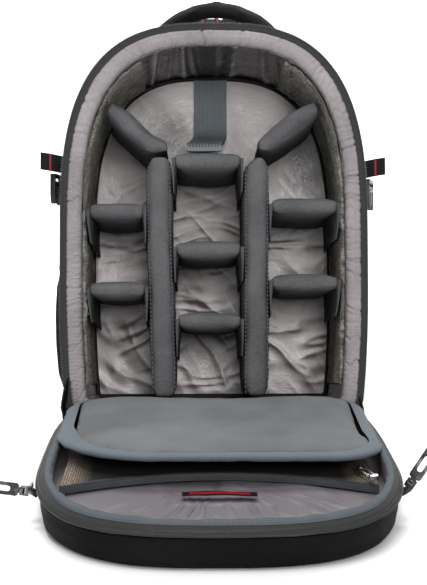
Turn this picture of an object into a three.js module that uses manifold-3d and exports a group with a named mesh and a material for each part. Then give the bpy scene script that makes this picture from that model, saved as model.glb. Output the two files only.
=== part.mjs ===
// A camera backpack standing on its base with the front panel unzipped and folded down in front.
// Millimetres. Finished frame: +X to the right, +Z up, the opening faces -Y, the floor is z = 0.
// Two frames share the hinge line: the body's, which leans back, and the lid's, which lies flat.
// In both, x runs across, y away from the hinge line, and z out of the closed bag's front.

import * as THREE from "three";
import { mergeVertices } from "three/addons/utils/BufferGeometryUtils.js";
import Module from "manifold-3d";

const manifold = await Module();
manifold.setup();

// Plan of the bag, the same for body and lid
const BAG_WIDTH = 320; // over the two zip coils
const BAG_HEIGHT = 400; // hinge line to the coil at the top
const SHOULDER_HEIGHT = 0.45 * BAG_HEIGHT; // where the straight sides start to round over
const TOP_POWER = 2.88; // fullness of the round top, where 2 is an ellipse
const WAIST = 8.8; // how far each side draws in at the hinge
const WAIST_POWER = 3.8; // how late it does so
const FOOT_ROUND = 10; // corners at the hinge
const FLANGE = 8; // zip tape that stands out past the wall
const HINGE_GAP = 1; // wall to hinge line

// Body
const BODY_DEPTH = 222;
const BACK_ROUND = 16; // edge between walls and back
const WALL = 14; // foam wall with its cloth
const BACK_WALL = 50; // padded back with its flat rear sleeve
const LINING = 1.5;
const SEAM = 0.3; // clearance between pieces that touch
const RIM_THICK = 8; // padded rim in front of the wall's edge
const RIM_CROWN = 1.2; // how far the rim's middle stands proud
const COIL = 2.6; // zip coil

// Loop cloth on the side walls
const LOOP_THICK = 2.2;
const LOOP_FRONT = 16;
const LOOP_BACK = 152;
const LOOP_FOOT = 30;

// Padded dividers
const DIVIDER_FRONT = 14; // set back from the rim
const DIVIDER_THICK = 17;
const UPRIGHT_THICK = 24;
const TAB_LENGTH = 28; // hook tab folded down at a divider's end
const TAB_THICK = 3.5;
const HEAD_HEIGHT = 0.665 * BAG_HEIGHT; // top of the uprights
const WAIST_HEIGHT = 0.493 * BAG_HEIGHT; // where the uprights bow most
const CORNER_DROP = 77; // top coil down to where the slanted dividers meet the wall
const CORNER_THICK = 15;

// Strap over the middle compartment
const STRAP_WIDTH = 38;
const STRAP_THICK = 2;
const STRAP_DROP = 23; // top coil down to the strap's upper end

// Lid
const LID_DEPTH = 40;
const LID_WALL = 5;
const LID_FLOOR = 17; // padded front panel
const ZIP_DROOP = 8.3; // how far the lid's loose zip tape hangs at its coil
const LID_BULGE = 3; // how far the lid's wall swells past its rim
const LID_ROUND = 10; // edge between the lid's wall and its front
const BINDING = 8; // cloth binding inside the lid's rim
const BINDING_RISE = 1.2;

// Padded flap over the lid
const FLAP_WIDTH = 296;
const FLAP_REACH = 222; // hinge line to its front edge
const FLAP_BACK = 7;
const FLAP_EDGE = 8; // thickness at the front edge
const FLAP_FOAM = 15; // thickness at the hinge
const FLAP_BINDING = 2;
const FLAP_CORNER_LEFT = 92;
const FLAP_CORNER_RIGHT = 46;

// Zipped mesh pocket on the lid
const POCKET_REACH = 202; // hinge line to its zip at the middle
const POCKET_SWEEP = 46; // how much further forward the zip is at the sides
const POCKET_WIDTH = 276;
const POCKET_HEIGHT = 12;
const POCKET_BAND = 3;
const MESH_THICK = 1.4;

// Woven label on the lid's lining
const LABEL_LENGTH = 64;
const LABEL_WIDTH = 14;
const LABEL_THICK = 0.6;
const LABEL_PLACE = 258; // its middle from the hinge line

// Zip sliders and their pulls
const SLIDER_LENGTH = 12;
const SLIDER_PLACE = 266; // from the hinge line
const PULL_LENGTH = 34;
const PULL_WIDTH = 11;
const PULL_THICK = 2.2;
const PULL_SLOT = 5;
const PIN_RADIUS = 1.1;
const PIN_CLEARANCE = 0.3;
const PULL_TILT_LEFT = 10; // degrees above the floor
const PULL_TILT_RIGHT = 58;
const INNER_PULL_LENGTH = 34;
const INNER_PULL_WIDTH = 9;
const INNER_PULL_THICK = 1.8;

// Grab handle
const HANDLE_SPAN = 168; // between the middles of its feet
const HANDLE_STAND = 58; // its outer crest above the top coil
const HANDLE_THICK = 20;
const HANDLE_WIDTH = 34;
const HANDLE_PLACE = 140; // behind the rim
const HANDLE_SHIFT = 6; // its middle, to the right

// Side compression straps
const WEBBING_WIDTH = 19;
const WEBBING_THICK = 1.6;
const WEBBING_FOOT_LEFT = 249;
const WEBBING_FOOT_RIGHT = 243;
const WEBBING_TURN = 62; // behind the rim, where it turns outwards
const WEBBING_START = 150;
const WEBBING_REACH = 34; // how far the loose end stands off the wall
const BUCKLE_WIDTH = 24;
const BUCKLE_LENGTH = 32;
const BUCKLE_THICK = 6;
const BUCKLE_SLOT = 3.4;

// Pocket on the left side
const POUCH_DEPTH = 15;
const POUCH_HEIGHT = 132;
const POUCH_FRONT = 30;
const POUCH_BACK = 164;
const POUCH_FOOT = 22;

// Back padding and shoulder straps
const PAD_THICK = 13;
const PAD_WIDTH = 92;
const PAD_HEIGHT = 236;
const PAD_FOOT = 104;
const PAD_GAP = 26;
const LUMBAR_HEIGHT = 62;
const LUMBAR_WIDTH = 172;
const LUMBAR_FOOT = 30;
const HARNESS_WIDTH = 64;
const HARNESS_THICK = 11;
const HARNESS_STAND = 70; // crest of the straps above the top coil
const HARNESS_END = 118; // lower end of the padded strap
const ARM_ROOM = 34; // between strap and back pad
const TAIL_WIDTH = 25;
const TAIL_THICK = 2;
const TAIL_FOOT = 40;
const LOCK_LENGTH = 26;
const LOCK_WIDTH = 32;
const LOCK_THICK = 6;

const INSIDE = FLANGE + WALL + SEAM + LINING; // coil to the face of the body's lining
const FLOOR_LEVEL = HINGE_GAP + INSIDE - FLANGE; // face of the lining on the body's base
const INNER_HALF = BAG_WIDTH / 2 - INSIDE;
const BACK_FACE = BODY_DEPTH - BACK_WALL - SEAM - LINING; // face of the lining on the back

// The lid holds the body's front edge off the floor, so the body leans until its back edge lands.
function leanAngle() {
  const run = BODY_DEPTH - BACK_ROUND;
  const rise = BACK_ROUND + HINGE_GAP;
  const reach = Math.hypot(rise, run);
  return Math.acos((BACK_ROUND - LID_DEPTH) / reach) - Math.atan2(run, rise);
}

const LEAN = leanAngle();

const COLOURS = {
  shell: { color: 0x242424, roughness: 0.85, metalness: 0 },
  lining: { color: 0xa39b9d, roughness: 0.5, metalness: 0 },
  rim: { color: 0xaea6a8, roughness: 0.6, metalness: 0 },
  zip: { color: 0x1b1b1b, roughness: 0.6, metalness: 0 },
  loop: { color: 0x54564f, roughness: 0.95, metalness: 0 },
  divider: { color: 0x6a6c6e, roughness: 0.9, metalness: 0 },
  strap: { color: 0x5a6167, roughness: 0.8, metalness: 0 },
  flap: { color: 0x858687, roughness: 0.85, metalness: 0 },
  binding: { color: 0x7c848a, roughness: 0.7, metalness: 0 },
  mesh: { color: 0x7d6f63, roughness: 0.9, metalness: 0 },
  lidLining: { color: 0x8f8a8e, roughness: 0.5, metalness: 0 },
  label: { color: 0x1a1516, roughness: 0.7, metalness: 0 },
  silver: { color: 0xc9c9c8, roughness: 0.3, metalness: 1 },
  gunmetal: { color: 0x3a3b3c, roughness: 0.35, metalness: 1 },
  plastic: { color: 0x1d1e1f, roughness: 0.35, metalness: 0 },
  webbing: { color: 0x222322, roughness: 0.85, metalness: 0 },
  pad: { color: 0x2b2c2e, roughness: 0.95, metalness: 0 },
};

function piece(name, geometry, colour) {
  const mesh = new THREE.Mesh(geometry, new THREE.MeshStandardMaterial(COLOURS[colour]));
  mesh.name = name;
  return mesh;
}

function lerp(a, b, t) {
  return a + (b - a) * t;
}

// Half the bag's width at a height, on the line set in from the coil by inset.
function halfWidthAt(height, inset) {
  const half = BAG_WIDTH / 2 - inset;
  if (height <= SHOULDER_HEIGHT) {
    const down = Math.min(1, (SHOULDER_HEIGHT - height) / SHOULDER_HEIGHT);
    return half - WAIST * down ** WAIST_POWER;
  }
  const up = Math.min(1, (height - SHOULDER_HEIGHT) / (BAG_HEIGHT - inset - SHOULDER_HEIGHT));
  return half * (1 - up ** TOP_POWER) ** (1 / TOP_POWER);
}

const SIDE_STEPS = 5;
const TOP_STEPS = 14;
const CORNER_STEPS = 2;

// The D-shaped plan, from the middle of its foot round by the right, as [x, y] pairs.
function plan(inset) {
  const foot = HINGE_GAP + Math.max(0, inset - FLANGE);
  const round = Math.max(FOOT_ROUND - Math.max(0, inset - FLANGE) / 2, FOOT_ROUND / 2);
  const side = halfWidthAt(foot + round, inset);
  const right = [[(side - round) / 2, foot]];
  for (let i = 0; i <= CORNER_STEPS; i++) {
    const turn = (i / CORNER_STEPS) * (Math.PI / 2);
    right.push([side - round + round * Math.sin(turn), foot + round - round * Math.cos(turn)]);
  }
  for (let i = 1; i <= SIDE_STEPS; i++) {
    const height = lerp(foot + round, SHOULDER_HEIGHT, i / SIDE_STEPS);
    right.push([halfWidthAt(height, inset), height]);
  }
  const rise = BAG_HEIGHT - inset - SHOULDER_HEIGHT;
  for (let i = 1; i < TOP_STEPS; i++) {
    const turn = (i / TOP_STEPS) * (Math.PI / 2);
    const height = SHOULDER_HEIGHT + rise * Math.sin(turn) ** (2 / TOP_POWER);
    right.push([(BAG_WIDTH / 2 - inset) * Math.cos(turn) ** (2 / TOP_POWER), height]);
  }
  const left = right.map(([x, y]) => [-x, y]).reverse();
  return [[0, foot], ...right, [0, BAG_HEIGHT - inset], ...left];
}

// Index of the plan's point above the right foot corner, and of its top.
const PLAN_SIDE = CORNER_STEPS + 2;
const PLAN_TOP = PLAN_SIDE + SIDE_STEPS + TOP_STEPS;

function ringAt(inset, level) {
  return plan(inset).map(([x, y]) => new THREE.Vector3(x, y, level));
}

function flatLoop(points, level) {
  return points.map(([x, y]) => new THREE.Vector3(x, y, level));
}

// Triangles that close a loop, wound along it or against it.
function capFaces(loop, along) {
  const normal = new THREE.Vector3();
  loop.forEach((p, i) => normal.add(new THREE.Vector3().crossVectors(p, loop[(i + 1) % loop.length])));
  const size = normal.toArray().map(Math.abs);
  const drop = size.indexOf(Math.max(...size));
  const [u, v] = [0, 1, 2].filter((axis) => axis !== drop);
  const flat = loop.map((p) => new THREE.Vector2(p.getComponent(u), p.getComponent(v)));
  const faces = THREE.ShapeUtils.triangulateShape(flat, []);
  const edge = faces.flatMap(([a, b, c]) => [[a, b], [b, c], [c, a]]);
  const forward = edge.some(([a, b]) => b === (a + 1) % loop.length);
  return forward === along ? faces : faces.map(([a, b, c]) => [a, c, b]);
}

// A closed skin through loops of equal count. The ends are capped unless the loops run in a circle.
function skin(loops, circle = false) {
  const count = loops[0].length;
  const at = (i, j) => (i % loops.length) * count + (j % count);
  const faces = [];
  for (let i = 0; i < (circle ? loops.length : loops.length - 1); i++) {
    for (let j = 0; j < count; j++) {
      faces.push([at(i, j), at(i + 1, j), at(i + 1, j + 1)]);
      faces.push([at(i, j), at(i + 1, j + 1), at(i, j + 1)]);
    }
  }
  if (!circle) {
    const last = (loops.length - 1) * count;
    faces.push(...capFaces(loops[0], true));
    faces.push(...capFaces(loops.at(-1), false).map((face) => face.map((k) => k + last)));
  }
  return facing(loops.flat(), faces);
}

// Faces turned so that the body's volume is positive.
function facing(points, faces) {
  const volume = faces.reduce((sum, [a, b, c]) => {
    return sum + points[a].dot(new THREE.Vector3().crossVectors(points[b], points[c]));
  }, 0);
  const index = faces.flatMap(([a, b, c]) => (volume > 0 ? [a, b, c] : [a, c, b]));
  const geometry = new THREE.BufferGeometry().setFromPoints(points);
  geometry.setIndex(index);
  geometry.computeVertexNormals();
  return geometry;
}

// A band along the plan. Each row of the section is [inset, level]; from and to pick the stretch.
function planBand(section, from = 0, to = null) {
  const lines = section.map(([inset, level]) => ringAt(inset, level));
  const end = to === null ? lines[0].length - 1 : to;
  const loops = [];
  for (let i = from; i <= end; i++) loops.push(lines.map((line) => line[i]));
  return skin(loops, to === null);
}

// A flat outline of [a, b] pairs, extruded along the third axis. axes is "xy", "zy" or "xz".
function extruded(points, low, high, axes = "xy") {
  const place = {
    xy: ([a, b], c) => new THREE.Vector3(a, b, c),
    zy: ([a, b], c) => new THREE.Vector3(c, b, a),
    xz: ([a, b], c) => new THREE.Vector3(a, c, b),
  }[axes];
  return skin([low, high].map((level) => points.map((point) => place(point, level))));
}

// Both edges of a band that follows a path of [a, b] pairs.
function ribbon(path, thickness) {
  const edge = (side) => path.map(([a, b], i) => {
    const [a0, b0] = path[Math.max(0, i - 1)];
    const [a1, b1] = path[Math.min(path.length - 1, i + 1)];
    const run = Math.hypot(a1 - a0, b1 - b0);
    const off = (side * thickness) / 2 / run;
    return [a - (b1 - b0) * off, b + (a1 - a0) * off];
  });
  return [...edge(1), ...edge(-1).reverse()];
}

function withHoles(outline, holes, thickness) {
  const shape = new THREE.Shape(outline.map(([x, y]) => new THREE.Vector2(x, y)));
  for (const hole of holes) {
    shape.holes.push(new THREE.Path(hole.map(([x, y]) => new THREE.Vector2(x, y))));
  }
  const solid = new THREE.ExtrudeGeometry(shape, { depth: thickness, bevelEnabled: false });
  return solid.translate(0, 0, -thickness / 2);
}

// A rectangle with round corners about a centre, counterclockwise.
function roundRect(width, height, radius, [cx, cy] = [0, 0], steps = 3) {
  const points = [];
  const corners = [[1, -1, -90], [1, 1, 0], [-1, 1, 90], [-1, -1, 180]];
  for (const [sx, sy, start] of corners) {
    for (let i = 0; i <= steps; i++) {
      const turn = ((start + (90 * i) / steps) * Math.PI) / 180;
      const x = cx + sx * (width / 2 - radius) + radius * Math.cos(turn);
      points.push([x, cy + sy * (height / 2 - radius) + radius * Math.sin(turn)]);
    }
  }
  return points;
}

function solidOf(geometry) {
  const bare = geometry.clone();
  bare.deleteAttribute("normal");
  if (bare.hasAttribute("uv")) bare.deleteAttribute("uv");
  const merged = mergeVertices(bare, 1e-4);
  return new manifold.Manifold(
    new manifold.Mesh({
      numProp: 3,
      vertProperties: new Float32Array(merged.attributes.position.array),
      triVerts: new Uint32Array(merged.index.array),
    }),
  );
}

function joined(geometries) {
  return geometryOf(geometries.map(solidOf).reduce((whole, next) => whole.add(next)));
}

function carved(geometry, cutter) {
  return geometryOf(solidOf(geometry).subtract(solidOf(cutter)));
}

function geometryOf(solid) {
  const mesh = solid.getMesh();
  const geometry = new THREE.BufferGeometry();
  geometry.setAttribute("position", new THREE.BufferAttribute(new Float32Array(mesh.vertProperties), 3));
  geometry.setIndex(new THREE.BufferAttribute(new Uint32Array(mesh.triVerts), 1));
  geometry.computeVertexNormals();
  return geometry;
}

const body = new THREE.Group();
const lid = new THREE.Group();

// Body: foam walls and back in one cup, its lining, padded rim and zip

function backEdge(inset, round, depth, steps = 4) {
  const rings = [];
  for (let i = 0; i <= steps; i++) {
    const turn = (i / steps) * (Math.PI / 2);
    rings.push(ringAt(inset + round * (1 - Math.cos(turn)), -(depth - round + round * Math.sin(turn))));
  }
  return rings;
}

function bodyShell() {
  const front = -RIM_THICK - SEAM;
  const inner = FLANGE + WALL;
  return skin([
    ringAt(inner, -(BODY_DEPTH - BACK_WALL)),
    ringAt(inner, front),
    ringAt(FLANGE, front),
    ...backEdge(FLANGE, BACK_ROUND, BODY_DEPTH),
  ]);
}

function bodyLining() {
  const front = -RIM_THICK - SEAM;
  return skin([
    ringAt(INSIDE, -BACK_FACE),
    ringAt(INSIDE, front),
    ringAt(INSIDE - LINING, front),
    ringAt(INSIDE - LINING, -BACK_FACE - LINING),
  ]);
}

function rimPadding() {
  const outer = FLANGE + SEAM;
  const width = INSIDE - outer;
  const rows = [
    { across: 0, level: -1 },
    { across: 0, level: -0.3 },
    { across: 0.18, level: 0 },
    { across: 0.5, level: RIM_CROWN / RIM_THICK },
    { across: 0.82, level: 0 },
    { across: 1, level: -0.4 },
    { across: 1, level: -1 },
  ];
  return planBand(rows.map((row) => [outer + width * row.across, RIM_THICK * row.level]));
}

// Flat tape with the coil along its outer edge, level with the rim.
function zipSection(level, droop, side) {
  const tape = COIL / 2;
  return [
    [FLANGE, level],
    [FLANGE, level + side * tape],
    [COIL, level + side * (tape + droop)],
    [COIL / 2, level + side * (tape + droop + COIL / 2)],
    [0, level + side * (droop + COIL / 2)],
    [COIL / 2, level + side * (droop - COIL / 4)],
    [COIL, level + side * droop],
  ];
}

body.add(piece("body_shell", bodyShell(), "shell"));
body.add(piece("body_lining", bodyLining(), "lining"));
body.add(piece("body_rim", rimPadding(), "rim"));
const BODY_ZIP_LEVEL = -RIM_THICK / 4;
const zipEnd = 2 * PLAN_TOP - PLAN_SIDE;
const bodyZip = planBand(zipSection(BODY_ZIP_LEVEL, 0, -1), PLAN_SIDE, zipEnd);
body.add(piece("body_zip", bodyZip, "zip"));

// Loop cloth: up each side wall and round the shoulder

function loopCloth(side) {
  const outer = INSIDE + SEAM;
  const inner = outer + LOOP_THICK;
  const lines = [outer, inner].map((inset) => {
    const line = plan(inset).slice(PLAN_SIDE + 1, PLAN_TOP - 3);
    return [[halfWidthAt(LOOP_FOOT, inset), LOOP_FOOT], ...line];
  });
  const outline = [...lines[0], ...lines[1].reverse()].map(([x, y]) => [side * x, y]);
  return extruded(outline, -LOOP_BACK, -LOOP_FRONT);
}

for (const [name, side] of [["left", -1], ["right", 1]]) {
  body.add(piece(`loop_cloth_${name}`, loopCloth(side), "loop"));
}

// Dividers. Places across are shares of the lining's half width, heights shares of the bag's.

const UPRIGHTS = {
  left: { side: -1, foot: -0.379, waist: -0.419, head: -0.415, shave: 0 },
  right: { side: 1, foot: 0.323, waist: 0.331, head: 0.327, shave: 0.5 },
};

const SHELVES = [
  { name: "centre_divider_top", from: "left", to: "right", top: 0.665 },
  { name: "centre_divider_middle", from: "left", to: "right", top: 0.4325 },
  { name: "centre_divider_bottom", from: "left", to: "right", top: 0.245 },
  { name: "left_divider_upper", from: "wall", to: "left", top: 0.5325 },
  { name: "left_divider_lower", from: "wall", to: "left", top: 0.3275 },
  { name: "right_divider_upper", from: "right", to: "wall", top: 0.545 },
  { name: "right_divider_lower", from: "right", to: "wall", top: 0.345 },
];

const DIVIDER_BACK = -(BACK_FACE - SEAM);
const CELL_WALL = INSIDE + SEAM + LOOP_THICK + 2 * SEAM; // where a divider meets the side wall

function uprightCentre(row, height) {
  const foot = FLOOR_LEVEL + SEAM;
  const low = height < WAIST_HEIGHT;
  const share = low
    ? lerp(row.foot, row.waist, (height - foot) / (WAIST_HEIGHT - foot))
    : lerp(row.waist, row.head, (height - WAIST_HEIGHT) / (HEAD_HEIGHT - WAIST_HEIGHT));
  return INNER_HALF * share;
}

function uprightOutline(row) {
  const heights = [FLOOR_LEVEL + SEAM, WAIST_HEIGHT, HEAD_HEIGHT];
  const half = UPRIGHT_THICK / 2;
  const edge = (sign) => heights.map((y) => [uprightCentre(row, y) + sign * half, y]);
  const outer = edge(row.side);
  const inner = edge(-row.side).reverse();
  if (!row.shave) return [...outer, ...inner];
  const [top, ...rest] = inner;
  const cut = UPRIGHT_THICK * row.shave;
  return [...outer, [top[0] + row.side * cut, top[1]], [top[0], top[1] - cut], ...rest];
}

// Where a shelf's end may reach, over the height of its hook tab.
function shelfEnd(kind, side, top) {
  const heights = [top, top - DIVIDER_THICK - TAB_LENGTH, Math.min(top, WAIST_HEIGHT)];
  if (kind === "wall") {
    return side * Math.min(...heights.map((y) => halfWidthAt(y, CELL_WALL)));
  }
  const faces = heights.map((y) => uprightCentre(UPRIGHTS[kind], y) - (side * UPRIGHT_THICK) / 2);
  return side < 0 ? Math.max(...faces) + SEAM : Math.min(...faces) - SEAM;
}

function shelf({ from, to, top }) {
  const y = top * BAG_HEIGHT;
  const low = y - DIVIDER_THICK;
  const foot = low - TAB_LENGTH;
  const x0 = shelfEnd(from, -1, y);
  const x1 = shelfEnd(to, 1, y);
  const round = DIVIDER_THICK / 4;
  const outline = [
    [x0, foot],
    [x0 + TAB_THICK, foot],
    [x0 + TAB_THICK, low],
    [x1 - TAB_THICK, low],
    [x1 - TAB_THICK, foot],
    [x1, foot],
    [x1, y - round],
    [x1 - round, y],
    [x0 + round, y],
    [x0, y - round],
  ];
  return extruded(outline, DIVIDER_BACK, -DIVIDER_FRONT);
}

// A slanted divider from the shoulder's wall down onto an upright's head.
function cornerDivider(row) {
  const wall = (y) => [row.side * halfWidthAt(y, CELL_WALL + 2 * SEAM), y];
  const head = uprightCentre(row, HEAD_HEIGHT);
  const seat = HEAD_HEIGHT + SEAM;
  const top = BAG_HEIGHT - CORNER_DROP;
  const half = UPRIGHT_THICK / 2;
  const inner = head - row.side * (half - UPRIGHT_THICK * row.shave);
  const drop = CORNER_THICK * 0.8;
  return extruded(
    [
      wall(top),
      [lerp(head, wall(top)[0], 0.2), lerp(seat, top, 0.5)],
      [inner, seat + CORNER_THICK * 0.5],
      [inner, seat],
      [head + row.side * half, seat],
      [lerp(head, wall(top)[0], 0.35), lerp(seat, top - drop, 0.3)],
      wall(top - drop),
    ],
    DIVIDER_BACK,
    -DIVIDER_FRONT,
  );
}

for (const [name, row] of Object.entries(UPRIGHTS)) {
  const upright = extruded(uprightOutline(row), DIVIDER_BACK, -DIVIDER_FRONT);
  body.add(piece(`upright_divider_${name}`, upright, "divider"));
  body.add(piece(`corner_divider_${name}`, cornerDivider(row), "divider"));
}
for (const row of SHELVES) body.add(piece(row.name, shelf(row), "divider"));

// Strap: down the back lining, then forward onto the top of the middle divider

function holdStrap() {
  const top = SHELVES[0].top * BAG_HEIGHT + SEAM + STRAP_THICK / 2;
  const back = -(BACK_FACE - SEAM - STRAP_THICK / 2);
  const path = [
    { depth: 1, height: 1 },
    { depth: 1, height: 0.34 },
    { depth: 0.955, height: 0.2 },
    { depth: 0.84, height: 0.08 },
    { depth: 0.66, height: 0 },
    { depth: 0.3, height: 0 },
  ];
  const points = path.map((row) => [back * row.depth, lerp(top, BAG_HEIGHT - STRAP_DROP - STRAP_THICK, row.height)]);
  return extruded(ribbon(points, STRAP_THICK), -STRAP_WIDTH / 2, STRAP_WIDTH / 2, "zy");
}

body.add(piece("divider_strap", holdStrap(), "strap"));

// Handle: a padded arch over the body's top

function grabHandle() {
  const half = HANDLE_SPAN / 2;
  const foot = shellTop(half) - HANDLE_THICK;
  const rise = BAG_HEIGHT + HANDLE_STAND - HANDLE_THICK / 2 - foot;
  const section = roundRect(HANDLE_WIDTH, HANDLE_THICK, HANDLE_THICK / 2.2, [0, 0], 1);
  const steps = 12;
  const loops = [];
  for (let i = 0; i <= steps; i++) {
    const turn = Math.PI * (i / steps);
    const x = HANDLE_SHIFT - half * Math.cos(turn);
    const y = foot + rise * Math.sin(turn);
    const lean = Math.atan2(rise * Math.cos(turn), half * Math.sin(turn));
    loops.push(
      section.map(([across, out]) => {
        return new THREE.Vector3(x - out * Math.sin(lean), y + out * Math.cos(lean), across - HANDLE_PLACE);
      }),
    );
  }
  const under = extruded(plan(FLANGE - SEAM), -HANDLE_PLACE - HANDLE_WIDTH, -HANDLE_PLACE + HANDLE_WIDTH);
  return carved(skin(loops), under);
}

// Height of the shell's round top at a distance from the middle.
function shellTop(x) {
  const rise = BAG_HEIGHT - FLANGE - SHOULDER_HEIGHT;
  const share = Math.abs(x) / (BAG_WIDTH / 2 - FLANGE);
  return SHOULDER_HEIGHT + rise * (1 - share ** TOP_POWER) ** (1 / TOP_POWER);
}

body.add(piece("grab_handle", grabHandle(), "webbing"));

// Side straps: webbing along the wall, turned out at its loose end, with half a buckle below

function sideWebbing(side, foot) {
  const wall = halfWidthAt(foot, FLANGE) + SEAM + WEBBING_THICK / 2;
  const path = [
    { out: 0, depth: WEBBING_START },
    { out: 0, depth: WEBBING_TURN + 24 },
    { out: 0.12, depth: WEBBING_TURN + 8 },
    { out: 0.5, depth: WEBBING_TURN },
    { out: 1, depth: WEBBING_TURN - 4 },
  ];
  const points = path.map((row) => [side * (wall + WEBBING_REACH * row.out), -row.depth]);
  return extruded(ribbon(points, WEBBING_THICK), foot, foot + WEBBING_WIDTH, "xz");
}

function buckle() {
  const w = BUCKLE_WIDTH / 2;
  const h = BUCKLE_LENGTH;
  const frame = h * 0.42;
  const prong = w * 0.3;
  const outline = [
    [-w, 0],
    [-w, -frame],
    [-w, -h * 0.7],
    [-w * 0.8, -h],
    [-w * 0.8 + prong, -h],
    [-w + prong, -frame],
    [-prong / 2, -frame],
    [-prong / 2, -h * 0.85],
    [prong / 2, -h * 0.85],
    [prong / 2, -frame],
    [w - prong, -frame],
    [w * 0.8 - prong, -h],
    [w * 0.8, -h],
    [w, -h * 0.7],
    [w, -frame],
    [w, 0],
  ];
  const slot = roundRect(BUCKLE_WIDTH * 0.78, BUCKLE_SLOT, 1, [0, -frame * 0.45], 1);
  return withHoles(outline, [slot], BUCKLE_THICK);
}

for (const [name, side, foot] of [["left", -1, WEBBING_FOOT_LEFT], ["right", 1, WEBBING_FOOT_RIGHT]]) {
  body.add(piece(`side_webbing_${name}`, sideWebbing(side, foot), "webbing"));
  const half = piece(`side_buckle_${name}`, buckle(), "plastic");
  const wall = halfWidthAt(foot, FLANGE);
  half.position.set(side * (wall + WEBBING_REACH * 0.5), foot - SEAM, -WEBBING_TURN);
  half.rotation.set(0, (Math.PI / 2) * 0.8, 0);
  body.add(half);
}

// Pocket low on the left side

// Rows up the pocket, as shares of its height, depth and width.
const POUCH_ROWS = [
  { height: 0, out: 0.2, width: 0.84 },
  { height: 0.05, out: 0.7, width: 0.94 },
  { height: 0.16, out: 0.95, width: 1 },
  { height: 0.32, out: 1, width: 1 },
  { height: 0.5, out: 1, width: 1 },
  { height: 0.68, out: 0.95, width: 0.98 },
  { height: 0.84, out: 0.75, width: 0.96 },
  { height: 1, out: 0.35, width: 0.92 },
];

function sidePouch() {
  const middle = (POUCH_FRONT + POUCH_BACK) / 2;
  return skin(
    POUCH_ROWS.map((row) => {
      const y = POUCH_FOOT + POUCH_HEIGHT * row.height;
      const wall = -(halfWidthAt(y, FLANGE) + SEAM);
      const half = ((POUCH_BACK - POUCH_FRONT) / 2) * row.width;
      const out = POUCH_DEPTH * row.out;
      const line = [
        [0, -1],
        [0.6, -0.97],
        [1, -0.8],
        [1, 0.8],
        [0.6, 0.97],
        [0, 1],
      ];
      return line.map(([off, along]) => new THREE.Vector3(wall - out * off, y, -middle + half * along));
    }),
  );
}

body.add(piece("side_pocket", sidePouch(), "shell"));

// Back: three pads and the shoulder harness

function backPad(width, height, centre) {
  const seat = -(BODY_DEPTH + SEAM);
  const rows = [
    { level: 0, inset: 0 },
    { level: 0.75, inset: 1.5 },
    { level: 1, inset: 8 },
  ];
  return skin(
    rows.map(({ level, inset }) => {
      return flatLoop(roundRect(width - 2 * inset, height - 2 * inset, 18, centre), seat - PAD_THICK * level);
    }),
  );
}

const padCentre = (PAD_WIDTH + PAD_GAP) / 2;
for (const [name, side] of [["left", -1], ["right", 1]]) {
  const centre = [side * padCentre, PAD_FOOT + PAD_HEIGHT / 2];
  body.add(piece(`back_pad_${name}`, backPad(PAD_WIDTH, PAD_HEIGHT, centre), "pad"));
}
const lumbar = backPad(LUMBAR_WIDTH, LUMBAR_HEIGHT, [0, LUMBAR_FOOT + LUMBAR_HEIGHT / 2]);
body.add(piece("back_pad_lumbar", lumbar, "pad"));

// Depths are shares of the stand behind the back, heights run from the harness's end to its crest.
const HARNESS = [
  { height: 0.7, depth: 0, across: 0.24, width: 0.42 },
  { height: 0.9, depth: 0.02, across: 0.24, width: 0.42 },
  { height: 0.985, depth: 0.12, across: 0.25, width: 0.44 },
  { height: 0.995, depth: 0.42, across: 0.28, width: 0.6 },
  { height: 0.93, depth: 0.72, across: 0.4, width: 0.85 },
  { height: 0.78, depth: 0.93, across: 0.58, width: 1 },
  { height: 0.55, depth: 1, across: 0.78, width: 1 },
  { height: 0.3, depth: 0.97, across: 0.92, width: 0.9 },
  { height: 0.12, depth: 0.87, across: 1, width: 0.74 },
  { height: 0.02, depth: 0.82, across: 1.03, width: 0.6 },
  { height: 0, depth: 0.82, across: 1.03, width: 0.56 },
];

const HARNESS_BACK = BODY_DEPTH + SEAM + HARNESS_THICK / 2;
const HARNESS_DEPTH = PAD_THICK + ARM_ROOM;
const HARNESS_SPREAD = padCentre + PAD_WIDTH * 0.36;

function harnessPoint(row, side) {
  return new THREE.Vector3(
    side * HARNESS_SPREAD * row.across,
    lerp(HARNESS_END, BAG_HEIGHT + HARNESS_STAND - HARNESS_THICK / 2, row.height),
    -(HARNESS_BACK + HARNESS_DEPTH * row.depth),
  );
}

// A flat band swept along points, its width across X.
function sweptBand(points, widths, thickness, steps = 1) {
  return skin(
    points.map((p, i) => {
      const ahead = points[Math.min(points.length - 1, i + 1)];
      const behind = points[Math.max(0, i - 1)];
      const run = new THREE.Vector3().subVectors(ahead, behind).normalize();
      const across = new THREE.Vector3(1, 0, 0).addScaledVector(run, -run.x).normalize();
      const out = new THREE.Vector3().crossVectors(run, across);
      return roundRect(widths[i], thickness, thickness / 3, [0, 0], steps).map(([a, b]) => {
        return p.clone().addScaledVector(across, a).addScaledVector(out, b);
      });
    }),
  );
}

for (const [name, side] of [["left", -1], ["right", 1]]) {
  const points = HARNESS.map((row) => harnessPoint(row, side));
  const widths = HARNESS.map((row) => HARNESS_WIDTH * row.width);
  body.add(piece(`shoulder_strap_${name}`, sweptBand(points, widths, HARNESS_THICK), "pad"));
  const end = points.at(-1);
  const lock = piece(`strap_adjuster_${name}`, ladderLock(), "plastic");
  lock.position.set(end.x, end.y - SEAM - LOCK_LENGTH / 2, end.z);
  body.add(lock);
  const path = tailPath(side, end.clone().setY(end.y - LOCK_LENGTH - 2 * SEAM));
  body.add(piece(`strap_tail_${name}`, sweptBand(path, path.map(() => TAIL_WIDTH), TAIL_THICK), "webbing"));
}

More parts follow.
